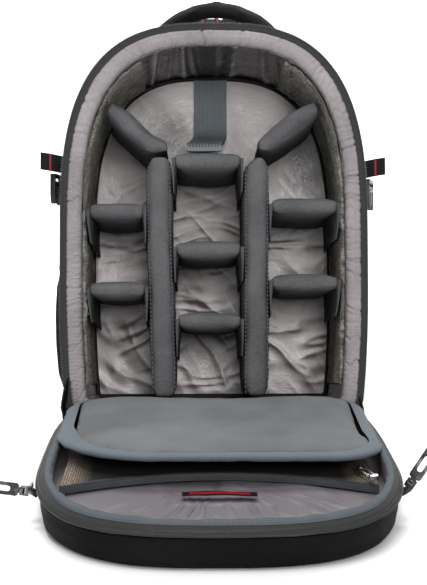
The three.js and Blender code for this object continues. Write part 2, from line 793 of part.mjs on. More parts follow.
// Webbing from below the adjuster in to the foot of the back.
function tailPath(side, start) {
  const across = side * halfWidthAt(TAIL_FOOT, FLANGE + BACK_ROUND + TAIL_WIDTH / 2);
  const seat = -(BODY_DEPTH + SEAM + TAIL_THICK / 2);
  const foot = new THREE.Vector3(across, TAIL_FOOT - TAIL_WIDTH / 2, seat);
  const landing = new THREE.Vector3(across, TAIL_FOOT, seat - 1.5 * TAIL_THICK);
  const below = start.clone().setY(start.y - TAIL_WIDTH / 4);
  return [start, below, below.clone().lerp(landing, 0.5), landing, foot];
}

function ladderLock() {
  const outline = roundRect(LOCK_WIDTH, LOCK_LENGTH, 3, [0, 0], 2);
  const slots = [-1, 1].map((side) => roundRect(LOCK_WIDTH * 0.8, 3.4, 1, [0, side * LOCK_LENGTH * 0.22], 1));
  return withHoles(outline, slots, LOCK_THICK);
}

// Lid: tray, lining, binding and zip. Levels run out of the bag's front, so down to the floor here.

function lidShell() {
  const top = COIL;
  const inner = FLANGE + LID_WALL;
  const swell = FLANGE - LID_BULGE;
  return skin([
    ringAt(inner, LID_DEPTH - LID_FLOOR),
    ringAt(inner, top),
    ringAt(FLANGE, top),
    ringAt(swell + 0.5, top + 5),
    ringAt(swell, LID_DEPTH - LID_ROUND - 3),
    ringAt(swell + LID_ROUND * 0.13, LID_DEPTH - LID_ROUND * 0.5),
    ringAt(swell + LID_ROUND * 0.5, LID_DEPTH - LID_ROUND * 0.13),
    ringAt(swell + LID_ROUND, LID_DEPTH),
  ]);
}

const LID_INSIDE = FLANGE + LID_WALL + SEAM + LINING;
const LID_LINING_FACE = LID_DEPTH - LID_FLOOR - SEAM - LINING;

function lidLining() {
  return skin([
    ringAt(LID_INSIDE, LID_LINING_FACE),
    ringAt(LID_INSIDE, COIL),
    ringAt(LID_INSIDE - LINING, COIL),
    ringAt(LID_INSIDE - LINING, LID_LINING_FACE + LINING),
  ]);
}

function lidBinding() {
  const outer = FLANGE + SEAM;
  const low = COIL - SEAM;
  return planBand([
    [outer, low],
    [outer, -BINDING_RISE * 0.3],
    [outer + BINDING * 0.25, -BINDING_RISE],
    [outer + BINDING * 0.75, -BINDING_RISE],
    [outer + BINDING, -BINDING_RISE * 0.3],
    [outer + BINDING, low],
  ]);
}

const LID_ZIP_LEVEL = 0.4;

lid.add(piece("lid_shell", lidShell(), "shell"));
lid.add(piece("lid_lining", lidLining(), "lidLining"));
lid.add(piece("lid_binding", lidBinding(), "binding"));
lid.add(piece("lid_zip", planBand(zipSection(LID_ZIP_LEVEL, ZIP_DROOP, 1), PLAN_SIDE, zipEnd), "zip"));

// Padded flap over the lid: thick foam at the hinge, thinner to the front, bound all round

function flapPlan(inset) {
  const half = FLAP_WIDTH / 2 - inset;
  const front = FLAP_REACH - inset;
  const back = FLAP_BACK + inset;
  const points = [];
  const corner = (cx, cy, rx, ry, start) => {
    for (let i = 0; i <= 5; i++) {
      const turn = ((start + 18 * i) * Math.PI) / 180;
      points.push([cx + rx * Math.cos(turn), cy + ry * Math.sin(turn)]);
    }
  };
  const rear = 24;
  corner(half - rear, back + rear, rear, rear, -90);
  corner(half - FLAP_CORNER_RIGHT, front - FLAP_CORNER_RIGHT, FLAP_CORNER_RIGHT, FLAP_CORNER_RIGHT, 0);
  corner(-half + FLAP_CORNER_LEFT, front - FLAP_CORNER_LEFT, FLAP_CORNER_LEFT, FLAP_CORNER_LEFT, 90);
  corner(-half + rear, back + rear, rear, rear, 180);
  return points;
}

const FLAP_UNDER = BINDING_RISE + SEAM;

function flapTop(y) {
  return lerp(FLAP_FOAM, FLAP_EDGE, Math.min(1, Math.max(0, y / FLAP_REACH)));
}

// Levels are shares of the flap's thickness at that place.
function flapLoop(inset, share) {
  return flapPlan(inset).map(([x, y]) => {
    return new THREE.Vector3(x, y, -(FLAP_UNDER + flapTop(y) * share));
  });
}

function flapPad() {
  const inner = FLAP_BINDING + SEAM;
  return skin([flapLoop(inner + 3, 0), flapLoop(inner, 0.2), flapLoop(inner, 0.8), flapLoop(inner + 9, 1)]);
}

function flapBinding() {
  const rings = [
    flapLoop(0, 0.15),
    flapLoop(FLAP_BINDING, 0.1),
    flapLoop(FLAP_BINDING, 0.85),
    flapLoop(0, 0.75),
  ];
  const loops = rings[0].map((_, i) => rings.map((ring) => ring[i]));
  return skin(loops, true);
}

lid.add(piece("padded_flap", flapPad(), "flap"));
lid.add(piece("flap_binding", flapBinding(), "binding"));

// Mesh pocket under the flap: a zipped band across the lid and a sheet of mesh behind it

const pocketFront = (x) => POCKET_REACH + POCKET_SWEEP * ((2 * x) / POCKET_WIDTH) ** 2;

function acrossPocket(section) {
  const steps = 8;
  const loops = [];
  for (let i = 0; i <= steps; i++) {
    const x = lerp(-POCKET_WIDTH / 2, POCKET_WIDTH / 2, i / steps);
    loops.push(section(x).map(([y, level, share = 1]) => new THREE.Vector3(x * share, y, level)));
  }
  return skin(loops);
}

const POCKET_FLOOR = LID_LINING_FACE - SEAM;
const POCKET_TOP = POCKET_FLOOR - POCKET_HEIGHT;

function pocketBand(x) {
  const y = pocketFront(x);
  return [
    [y, POCKET_FLOOR],
    [y, POCKET_TOP + POCKET_BAND],
    [y - POCKET_BAND, POCKET_TOP],
    [y - POCKET_BAND, POCKET_FLOOR],
  ];
}

function pocketMesh(x) {
  const y = pocketFront(x) - POCKET_BAND - SEAM;
  const back = HINGE_GAP + LID_INSIDE - FLANGE + 2 * SEAM;
  const share = (halfWidthAt(back, LID_INSIDE + 2 * SEAM) - FOOT_ROUND / 2) / (POCKET_WIDTH / 2);
  return [
    [y, POCKET_TOP + MESH_THICK],
    [y, POCKET_TOP],
    [back, POCKET_TOP, share],
    [back, POCKET_TOP + MESH_THICK, share],
  ];
}

lid.add(piece("pocket_band", acrossPocket(pocketBand), "binding"));
lid.add(piece("mesh_pocket", acrossPocket(pocketMesh), "mesh"));

// Woven label on the lining
const label = new THREE.BoxGeometry(LABEL_LENGTH, LABEL_WIDTH, LABEL_THICK);
label.translate(0, LABEL_PLACE, LID_LINING_FACE - SEAM - LABEL_THICK / 2);
lid.add(piece("woven_label", label, "label"));

// Inner zip: slider on the band's right end, its long pull lying back on the mesh
const INNER_SLIDER = { inset: 5, width: 8, length: 9, height: 3.6 };
const INNER_PULL_TURN = 14; // degrees, tip towards the middle

function innerZip() {
  const { inset, width, length, height } = INNER_SLIDER;
  const x = POCKET_WIDTH / 2 - inset;
  const y = pocketFront(x) - POCKET_BAND / 2;
  const base = POCKET_TOP - SEAM;
  const slider = extruded(roundRect(width, length, 2, [x, y], 2), base - height, base);
  lid.add(piece("inner_zip_slider", slider, "silver"));
  const outline = roundRect(INNER_PULL_WIDTH, INNER_PULL_LENGTH, INNER_PULL_WIDTH / 2.1, [0, 0], 4);
  const slot = roundRect(INNER_PULL_WIDTH * 0.42, INNER_PULL_LENGTH * 0.6, 1.6, [0, 0], 2);
  const pull = piece("inner_zip_pull", withHoles(outline, [slot], INNER_PULL_THICK), "silver");
  const turn = THREE.MathUtils.degToRad(INNER_PULL_TURN);
  const away = (length + INNER_PULL_LENGTH) / 2 + 1;
  pull.rotation.set(0, 0, -turn);
  pull.position.set(x - away * Math.sin(turn), y - away * Math.cos(turn), base - INNER_PULL_THICK / 2);
  lid.add(pull);
}

innerZip();

// Lid zip: on each side a slider that straddles the coil, with a pull hinged on its pin
const SLIDER_JAW = 1.6;
const SLIDER_NOSE = 4.6;
const BARREL_LENGTH = 5; // the pull's eye, along the pin
const BARREL = PIN_RADIUS + PIN_CLEARANCE + 1.1; // its outer radius
const EAR_THICK = 1.3;
const EAR_TALL = 2 * PIN_RADIUS + SLIDER_JAW;
const EAR_PAST = PIN_RADIUS + EAR_THICK / 2; // how far the ears reach past the pin's axis
const HUB_LENGTH = 6.4;
const LUG_START = 3.2;
const HUB_REACH = (SLIDER_NOSE + 1) / 2; // the lug's root, inside the slider's nose
const TAPE_SLOPE = Math.atan2(ZIP_DROOP, FLANGE - COIL);
const PIN_ALONG = HUB_LENGTH + SEAM + BARREL;

function sliderBody(tilt) {
  const half = COIL * 1.1; // jaws clear of the coil
  const outer = half + SLIDER_JAW;
  const reach = -(COIL + SEAM);
  const profile = [
    [reach, -outer],
    [SLIDER_NOSE, -outer],
    [SLIDER_NOSE, outer],
    [reach, outer],
    [reach, half],
    [1, half],
    [1, -half],
    [reach, -half],
  ];
  const clip = extruded(profile, -SLIDER_LENGTH / 2, SLIDER_LENGTH / 2, "xz").rotateY(TAPE_SLOPE);
  const across = BARREL_LENGTH + 2 * (SEAM + EAR_THICK);
  const hub = lugBlock(HUB_LENGTH, across);
  const pin = new THREE.CylinderGeometry(PIN_RADIUS, PIN_RADIUS, across - EAR_THICK / 2, 12);
  pin.rotateX(Math.PI / 2).translate(PIN_ALONG, 0, 0);
  const ear = lugBlock(PIN_ALONG + EAR_PAST, EAR_THICK);
  const ears = [-1, 1].map((side) => ear.clone().translate(0, 0, side * (across - EAR_THICK) * 0.5));
  const { x, z } = lugRoot();
  const lug = [hub, pin, ...ears].map((solid) => solid.rotateY(-tilt).translate(x, 0, z));
  return joined([clip, ...lug]);
}

// A block of the lug, from inside the slider's nose out to a length from its root.
function lugBlock(end, thickness) {
  const block = new THREE.BoxGeometry(end - LUG_START, EAR_TALL, thickness);
  return block.translate((end + LUG_START) / 2, 0, 0);
}

function lugRoot() {
  return { x: HUB_REACH * Math.cos(TAPE_SLOPE), z: -HUB_REACH * Math.sin(TAPE_SLOPE) };
}

function pullTab() {
  const start = Math.hypot(EAR_PAST, EAR_TALL / 2) + SEAM; // the tab's near edge clears the ears
  const middle = start + PULL_LENGTH / 2;
  const tab = roundRect(PULL_LENGTH, PULL_WIDTH, 2.5, [middle, 0], 3);
  const neck = roundRect(start + 3 - PIN_RADIUS * 1.7, BARREL_LENGTH, 0.4, [(start + 3) / 2 + PIN_RADIUS * 0.85, 0], 1);
  const slot = roundRect(PULL_LENGTH * 0.46, PULL_SLOT, 2, [middle - PULL_LENGTH * 0.06, 0], 2);
  const eye = [
    [PIN_RADIUS + PIN_CLEARANCE, -BARREL_LENGTH / 2],
    [BARREL, -BARREL_LENGTH / 2],
    [BARREL, BARREL_LENGTH / 2],
    [PIN_RADIUS + PIN_CLEARANCE, BARREL_LENGTH / 2],
    [PIN_RADIUS + PIN_CLEARANCE, -BARREL_LENGTH / 2],
  ].map(([x, y]) => new THREE.Vector2(x, y));
  const tube = new THREE.LatheGeometry(eye, 16);
  const plate = withHoles(tab, [slot], PULL_THICK);
  const bridge = withHoles(neck, [], PULL_THICK * 0.9);
  return joined([plate, bridge, tube]).rotateX(Math.PI / 2);
}

const ZIP_MIDDLE = LID_ZIP_LEVEL + ZIP_DROOP + COIL / 2;

for (const [name, side, degrees] of [["left", -1, PULL_TILT_LEFT], ["right", 1, PULL_TILT_RIGHT]]) {
  const tilt = THREE.MathUtils.degToRad(degrees);
  const place = new THREE.Group();
  const edge = halfWidthAt(SLIDER_PLACE, 0);
  const ahead = halfWidthAt(SLIDER_PLACE + SLIDER_LENGTH, 0);
  const behind = halfWidthAt(SLIDER_PLACE - SLIDER_LENGTH, 0);
  const yaw = Math.atan2(behind - ahead, 2 * SLIDER_LENGTH);
  place.position.set(side * edge, SLIDER_PLACE, ZIP_MIDDLE);
  place.rotation.set(0, 0, side < 0 ? Math.PI - yaw : yaw);
  place.scale.set(1, 1, -1);
  place.add(piece(`lid_slider_${name}`, sliderBody(tilt), "gunmetal"));
  const pull = piece(`lid_pull_${name}`, pullTab(), "gunmetal");
  pull.rotation.set(0, -tilt, 0);
  const root = lugRoot();
  pull.position.set(root.x + PIN_ALONG * Math.cos(tilt), 0, root.z + PIN_ALONG * Math.sin(tilt));
  place.add(pull);
  lid.add(place);
}

// Hinge: cloth from the lid's back wall round to the body's base

function hingeCloth() {
  const drop = LID_DEPTH * 0.6;
  const run = BODY_DEPTH * 0.14;
  const thick = 1.2;
  const base = (along, off) => {
    const [s, c] = [Math.sin(LEAN), Math.cos(LEAN)];
    return [HINGE_GAP * s + along * c - off * s, HINGE_GAP * c - along * s - off * c];
  };
  const wall = -HINGE_GAP + SEAM;
  const outline = [
    [wall, -drop],
    [wall + thick, -drop],
    base(thick + HINGE_GAP * 2, SEAM + thick),
    base(run, SEAM + thick),
    base(run, SEAM),
    base(HINGE_GAP * 2, SEAM),
    [wall, -COIL],
  ];
  const half = BAG_WIDTH / 2 - WAIST - FLANGE - FOOT_ROUND;
  return extruded(outline, -half, half, "zy");
}

// The hinge is drawn in the upright frame, as [away from the viewer, up] from the hinge line.
const hinge = piece("lid_hinge", hingeCloth(), "shell");
hinge.geometry.applyMatrix4(new THREE.Matrix4().set(-1, 0, 0, 0, 0, 0, 1, 0, 0, 1, 0, 0, 0, 0, 0, 1));

body.rotation.x = Math.PI / 2 - LEAN;
lid.rotation.x = Math.PI;
const backpack = new THREE.Group();
backpack.add(body, lid, hinge);

// Origin: on the floor, under the middle of the whole
backpack.position.z = LID_DEPTH;
backpack.updateMatrixWorld(true);
const box = new THREE.Box3().setFromObject(backpack, true);
backpack.position.x = -(box.min.x + box.max.x) / 2;
backpack.position.y = -(box.min.y + box.max.y) / 2;
backpack.position.z += -box.min.z;

export default backpack;
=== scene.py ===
"""A camera backpack that stands open, its front panel unzipped and laid flat in front of it.

Sizes are in millimetres in two frames that share the hinge line: the body's, which leans back, and
the lid's, which lies on the floor. In both, x runs across, y away from the hinge line and z out of
the closed bag's front.
"""

import logging
import math
from dataclasses import dataclass, field
from enum import Enum

import bmesh
import bpy
import numpy as np
from mathutils import Euler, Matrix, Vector


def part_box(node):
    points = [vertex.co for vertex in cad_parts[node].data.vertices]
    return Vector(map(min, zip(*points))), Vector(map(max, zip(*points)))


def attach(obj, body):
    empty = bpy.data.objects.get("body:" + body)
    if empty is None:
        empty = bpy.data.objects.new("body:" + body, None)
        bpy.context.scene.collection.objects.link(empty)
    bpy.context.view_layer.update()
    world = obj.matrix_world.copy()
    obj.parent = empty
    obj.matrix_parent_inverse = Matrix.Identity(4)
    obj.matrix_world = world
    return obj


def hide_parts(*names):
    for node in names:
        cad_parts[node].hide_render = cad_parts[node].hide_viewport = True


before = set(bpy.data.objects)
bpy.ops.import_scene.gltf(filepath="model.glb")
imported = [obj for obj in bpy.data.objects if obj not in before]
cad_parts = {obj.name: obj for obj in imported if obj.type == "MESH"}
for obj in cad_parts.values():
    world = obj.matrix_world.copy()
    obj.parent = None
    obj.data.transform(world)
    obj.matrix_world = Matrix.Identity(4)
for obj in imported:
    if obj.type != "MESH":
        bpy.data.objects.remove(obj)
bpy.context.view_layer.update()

MM = 0.001
Socket = bpy.types.NodeSocket
log = logging.getLogger("backpack")


# Shapes


class Noise:
    """Smooth value noise in space, the same on every run."""

    def __init__(self, seed: int) -> None:
        """Fills the lattice from a fixed seed."""
        self.table = np.random.default_rng(seed).uniform(-1, 1, (32, 32, 32))

    def at(self, points: np.ndarray) -> np.ndarray:
        """Value at points.

        Args:
            points: Places in lattice cells, the last axis x, y, z.

        Returns:
            One value from -1 to 1 per place.
        """
        low = np.floor(points).astype(int)
        part = points - low
        part = part * part * (3 - 2 * part)
        total = np.zeros(points.shape[:-1])
        for corner in np.ndindex(2, 2, 2):
            cell = (low + corner) % 32
            weight = np.prod(np.where(corner, part, 1 - part), axis=-1)
            total += weight * self.table[cell[..., 0], cell[..., 1], cell[..., 2]]
        return total

    def on(self, x: np.ndarray, y: np.ndarray | float = 0.0, z: np.ndarray | float = 0.0) -> np.ndarray:
        """Value at places given as three coordinates in lattice cells, single numbers spread over the rest."""
        return self.at(np.stack(np.broadcast_arrays(x, y, z), -1))

    def rough(self, points: np.ndarray, size: float, octaves: int = 3) -> np.ndarray:
        """Noise of several sizes, each half as large and half as strong as the last.

        Args:
            points: Places in millimetres.
            size: Largest size in millimetres.
            octaves: How many sizes.

        Returns:
            One value per place, about -1 to 1.
        """
        return sum(self.at(points / (size / 2**k) + 7.3 * k) / 2**k for k in range(octaves))


NOISE = Noise(5)


@dataclass(frozen=True)
class Place:
    """A frame that pieces are drawn in and where it stands in the world."""

    origin: tuple[float, float, float]
    lean: float | None
    settled: bool = False

    def axes(self) -> np.ndarray:
        """World directions of x, y and z as rows."""
        if self.lean is None:
            return np.diag([1.0, -1.0, -1.0])
        s, c = math.sin(self.lean), math.cos(self.lean)
        return np.array([[1, 0, 0], [0, s, c], [0, -c, s]])

    def world(self, points: np.ndarray) -> np.ndarray:
        """Metres in the world from millimetres in this frame, a soft foot pressed down by the bag's weight."""
        points = np.array(points, float)
        if self.settled:
            points[..., 1] = np.interp(points[..., 1], [-50, 0, 17, 60, 900], [-50, 0, 8, 60, 900])
        return (points @ self.axes() + np.array(self.origin)) * MM


@dataclass(frozen=True)
class Plan:
    """The D-shaped outline that body and lid share."""

    width: float = 320.0
    height: float = 400.0
    shoulder: float = 180.0
    power: float = 2.88
    waist: float = 8.8
    waist_power: float = 3.8
    flange: float = 8.0
    gap: float = 1.0
    corner: float = 10.0

    def half(self, y: np.ndarray, inset: float) -> np.ndarray:
        """Half the width at a height, on the line set in by inset."""
        y = np.asarray(y, float)
        half = self.width / 2 - inset
        down = np.clip((self.shoulder - y) / self.shoulder, 0, 1)
        up = np.clip((y - self.shoulder) / (self.height - inset - self.shoulder), 0, 1)
        low = half - self.waist * down**self.waist_power
        return np.where(y <= self.shoulder, low, half * (1 - up**self.power) ** (1 / self.power))

    def line(self, inset: float, turns: np.ndarray) -> np.ndarray:
        """Points of the outline.

        Args:
            inset: Distance in from the zip's edge.
            turns: Places along it, 0 at the middle of the foot, 1 at the top, by the right.

        Returns:
            Rows of x and y.
        """
        past = max(0.0, inset - self.flange)
        foot, bend = self.gap + past, max(self.corner - past / 2, self.corner / 2)
        side = float(self.half(foot + bend, inset))
        t = np.where(turns > 1, 2 - turns, turns)
        curl = np.clip((t - 0.17) / 0.03, 0, 1) * math.pi / 2
        rise = foot + bend + (self.shoulder - foot - bend) * np.clip((t - 0.2) / 0.25, 0, 1)
        arc = np.clip((t - 0.45) / 0.55, 0, 1) * math.pi / 2
        x = np.select(
            [t < 0.17, t < 0.2, t < 0.45],
            [(side - bend) * t / 0.17, side - bend + bend * np.sin(curl), self.half(rise, inset)],
            (self.width / 2 - inset) * np.abs(np.cos(arc)) ** (2 / self.power),
        )
        crown = self.shoulder + (self.height - inset - self.shoulder) * np.sin(arc) ** (2 / self.power)
        y = np.select([t < 0.17, t < 0.2, t < 0.45], [foot, foot + bend - bend * np.cos(curl), rise], crown)
        return np.stack([np.where(turns > 1, -x, x), y], axis=-1)

    def turns(self, count: int, start: float = 0.0, end: float = 2.0) -> np.ndarray:
        """Places along the outline at even spacing, the last left out if it meets the first."""
        fine = np.linspace(start, end, 4001)
        steps = np.linalg.norm(np.diff(self.line(12.0, fine), axis=0), axis=1)
        run = np.r_[0, np.cumsum(steps)]
        closed = start == 0.0 and end == 2.0
        return np.interp(np.linspace(0, run[-1], count, endpoint=not closed), run, fine)


PLAN = Plan()
ZIP_START = 0.2


def rings(turns: np.ndarray, section: list[tuple[float, float]]) -> np.ndarray:
    """Rows of points round the outline.

    Args:
        turns: Places along the outline.
        section: Inset and level of each row.

    Returns:
        A grid of rows, places and coordinates.
    """
    rows = [np.c_[PLAN.line(inset, turns), np.full(len(turns), level)] for inset, level in section]
    return np.array(rows)


def finer(section: list[tuple[float, float]], count: int) -> list[tuple[float, float]]:
    """A section resampled to evenly spaced rows."""
    line = np.array(section, float)
    run = np.r_[0, np.cumsum(np.linalg.norm(np.diff(line, axis=0), axis=1))]
    at = np.linspace(0, run[-1], count)
    return [(float(np.interp(a, run, line[:, 0])), float(np.interp(a, run, line[:, 1]))) for a in at]


def smoothed(path: np.ndarray, count: int) -> np.ndarray:
    """A path through the same points, rounded and evenly spaced.

    Args:
        path: Rows of coordinates.
        count: Points of the new path.

    Returns:
        Rows of coordinates.
    """
    path = np.asarray(path, float)
    ends = np.vstack([2 * path[0] - path[1], path, 2 * path[-1] - path[-2]])
    out = []
    for i in range(1, len(ends) - 2):
        a, b, c, d = ends[i - 1 : i + 3]
        t = np.linspace(0, 1, 16, endpoint=False)[:, None]
        out.append(0.5 * (2 * b + (c - a) * t + (2 * a - 5 * b + 4 * c - d) * t**2 + (3 * b - a - 3 * c + d) * t**3))
    fine = np.vstack([*out, path[-1:]])
    run = np.r_[0, np.cumsum(np.linalg.norm(np.diff(fine, axis=0), axis=1))]
    at = np.linspace(0, run[-1], count)
    return np.stack([np.interp(at, run, fine[:, k]) for k in range(fine.shape[1])], axis=-1)


def normals(grid: np.ndarray, wrap: bool) -> np.ndarray:
    """Unit normals of a grid of points, along columns crossed with along rows."""
    along = np.roll(grid, -1, axis=1) - np.roll(grid, 1, axis=1) if wrap else np.gradient(grid, axis=1)
    normal = np.cross(along, np.gradient(grid, axis=0))
    return normal / np.maximum(np.linalg.norm(normal, axis=-1, keepdims=True), 1e-9)


def pushed(grid: np.ndarray, amount: np.ndarray, wrap: bool) -> np.ndarray:
    """The grid moved along its normals by an amount at each point."""
    return grid + normals(grid, wrap) * amount[..., None]


def creases(run: np.ndarray, places: list[tuple[float, float, float]]) -> np.ndarray:
    """Pinched folds across a run, each a groove between two soft ridges.

    Args:
        run: Distance along the cloth at each point.
        places: Where each fold is, its width and its depth.

    Returns:
        Height at each point.
    """
    total = np.zeros_like(run)
    for centre, width, depth in places:
        t = (run - centre) / width
        total -= depth * (1 - 0.9 * t**2) * np.exp(-(t**2) / 1.6)
    return total


class Mesh:
    """Collects grids, tubes and stamped shapes, then makes one object of them."""

    def __init__(self, place: Place) -> None:
        """Starts an empty mesh in a place."""
        self.place = place
        self.points: list[np.ndarray] = []
        self.faces: list[tuple[int, ...]] = []
        self.weave: list[tuple[float, float, float]] = []
        self.count = 0

    def take(self, points: np.ndarray) -> int:
        """Adds points and returns the number of the first."""
        first = self.count
        self.points.append(points.reshape(-1, 3))
        self.count += self.points[-1].shape[0]
        return first

    def grid(
        self,
        grid: np.ndarray,
        wrap: bool = False,
        ring: bool = False,
        flip: bool = False,
        painted_light: np.ndarray | None = None,
    ) -> int:
        """Adds a grid of quads that knows its own lengths, for weaves to follow.

        Args:
            grid: Rows, columns and coordinates.
            wrap: Whether the last column meets the first.
            ring: Whether the last row meets the first.
            flip: Whether the faces turn the other way.
            painted_light: How much painted light each point's fold gets, 0 to 1, kept as the weave's third value.

        Returns:
            The number of the grid's first point.
        """
        rows, cols = grid.shape[:2]
        painted_light = np.full((rows, cols), 0.5) if painted_light is None else painted_light
        first = self.take(grid)
        across = np.vstack([grid, grid[:1]]) if ring else grid
        along = np.concatenate([grid, grid[:, :1]], axis=1) if wrap else grid
        v = np.r_[0, np.cumsum(np.linalg.norm(np.diff(across, axis=0), axis=2).mean(axis=1))]
        u = np.r_[0, np.cumsum(np.linalg.norm(np.diff(along, axis=1), axis=2).mean(axis=0))]
        for i in range(len(v) - 1):
            for j in range(len(u) - 1):
                corners = [(i, j), (i, j + 1), (i + 1, j + 1), (i + 1, j)]
                if flip:
                    corners.reverse()
                self.faces.append(tuple(first + (a % rows) * cols + b % cols for a, b in corners))
                self.weave.extend((u[b], v[a], painted_light[a % rows, b % cols]) for a, b in corners)
        return first

    def cap(self, loop: list[int], flip: bool = False) -> None:
        """Closes a loop of points with one face."""
        self.faces.append(tuple(reversed(loop)) if flip else tuple(loop))
        self.weave.extend((0.0, 0.0, 0.0) for _ in loop)

    def closed(self, grid: np.ndarray, flip: bool = False, painted_light: np.ndarray | None = None) -> None:
        """Adds a grid whose rows are loops, closed at both ends."""
        rows, cols = grid.shape[:2]
        first = self.grid(grid, wrap=True, flip=flip, painted_light=painted_light)
        self.cap(list(range(first, first + cols)), flip=not flip)
        self.cap(list(range(first + (rows - 1) * cols, first + rows * cols)), flip=flip)

    def tube(self, path: np.ndarray, radius: float, sides: int = 8, loop: bool = False) -> None:
        """Adds a round cord.

        Args:
            path: Rows of coordinates along its middle.
            radius: Its radius.
            sides: Faces round it.
            loop: Whether it closes on itself.
        """
        along = np.roll(path, -1, axis=0) - np.roll(path, 1, axis=0) if loop else np.gradient(path, axis=0)
        along /= np.linalg.norm(along, axis=1, keepdims=True)
        side = np.cross(along[0], [0.31, 0.27, 0.91])
        turn = np.linspace(0, 2 * math.pi, sides, endpoint=False)
        loops = []
        for point, run in zip(path, along):
            side = side - run * (side @ run)
            side /= np.linalg.norm(side)
            other = np.cross(run, side)
            loops.append(point + radius * (np.outer(np.cos(turn), side) + np.outer(np.sin(turn), other)))
        grid = np.array(loops)
        if loop:
            self.grid(grid, wrap=True, ring=True, flip=True)
        else:
            self.closed(grid, flip=True)

    def stamp(self, spots: np.ndarray, frames: np.ndarray, size: tuple[float, float, float]) -> None:
        """Adds a small rounded bar at each spot, for teeth and stitches.

        Args:
            spots: Middle of each bar.
            frames: For each, three rows: along its length, across it and out.
            size: Length, width and height.
        """
        turn = np.linspace(0, 2 * math.pi, 6, endpoint=False)
        loop = np.c_[np.zeros(6), np.cos(turn) / 2, np.sin(turn) / 2]
        shape = [loop * [1, k, k] + [x, 0, 0] for x, k in [(-0.5, 0.5), (-0.3, 1), (0.3, 1), (0.5, 0.5)]]
        template = np.array(shape).reshape(-1, 3) * size
        sides = [
            (i * 6 + j, i * 6 + (j + 1) % 6, (i + 1) * 6 + (j + 1) % 6, (i + 1) * 6 + j)
            for i in range(3)
            for j in range(6)
        ]
        ends = [tuple(reversed(range(6))), tuple(range(18, 24))]
        for spot, axes in zip(spots, frames):
            first = self.take(template @ axes + spot)
            for face in [*sides, *ends]:
                self.faces.append(tuple(first + k for k in face))
                self.weave.extend((0.0, 0.0, 0.0) for _ in face)

    def object(self, name: str, sharp: float = 50.0) -> bpy.types.Object:
        """Makes the object.

        Args:
            name: Its name.
            sharp: Angle in degrees above which edges stay sharp.

        Returns:
            The linked object.
        """
        data = bpy.data.meshes.new(name)
        data.from_pydata(self.place.world(np.vstack(self.points)).tolist(), [], self.faces)
        layer = data.attributes.new("weave", "FLOAT_VECTOR", "CORNER")
        layer.data.foreach_set("vector", np.array(self.weave, np.float32).ravel())
        data.polygons.foreach_set("use_smooth", [True] * len(data.polygons))
        data.set_sharp_from_angle(angle=math.radians(sharp))
        obj = bpy.data.objects.new(name, data)
        bpy.context.scene.collection.objects.link(obj)
        return obj


def unit(rows: np.ndarray) -> np.ndarray:
    """Rows of coordinates scaled to a length of one."""
    return rows / np.linalg.norm(rows, axis=-1, keepdims=True)


def seam_frames(path: np.ndarray, out: np.ndarray) -> np.ndarray:
    """Along, across and out at each point of a path, from a rough outward direction."""
    along = unit(np.gradient(path, axis=0))
    across = unit(np.cross(out, along))
    return np.stack([along, across, np.cross(along, across)], axis=1)


def spaced(path: np.ndarray, pitch: float) -> np.ndarray:
    """Points along a path, one pitch apart."""
    run = np.r_[0, np.cumsum(np.linalg.norm(np.diff(path, axis=0), axis=1))]
    at = np.arange(pitch / 2, run[-1], pitch)
    return np.stack([np.interp(at, run, path[:, k]) for k in range(3)], axis=-1)


def outward(data: bpy.types.Mesh) -> np.ndarray:
    """Unit normals at the mesh's points."""
    out = np.empty(len(data.vertices) * 3)
    data.vertices.foreach_get("normal", out)
    return out.reshape(-1, 3)


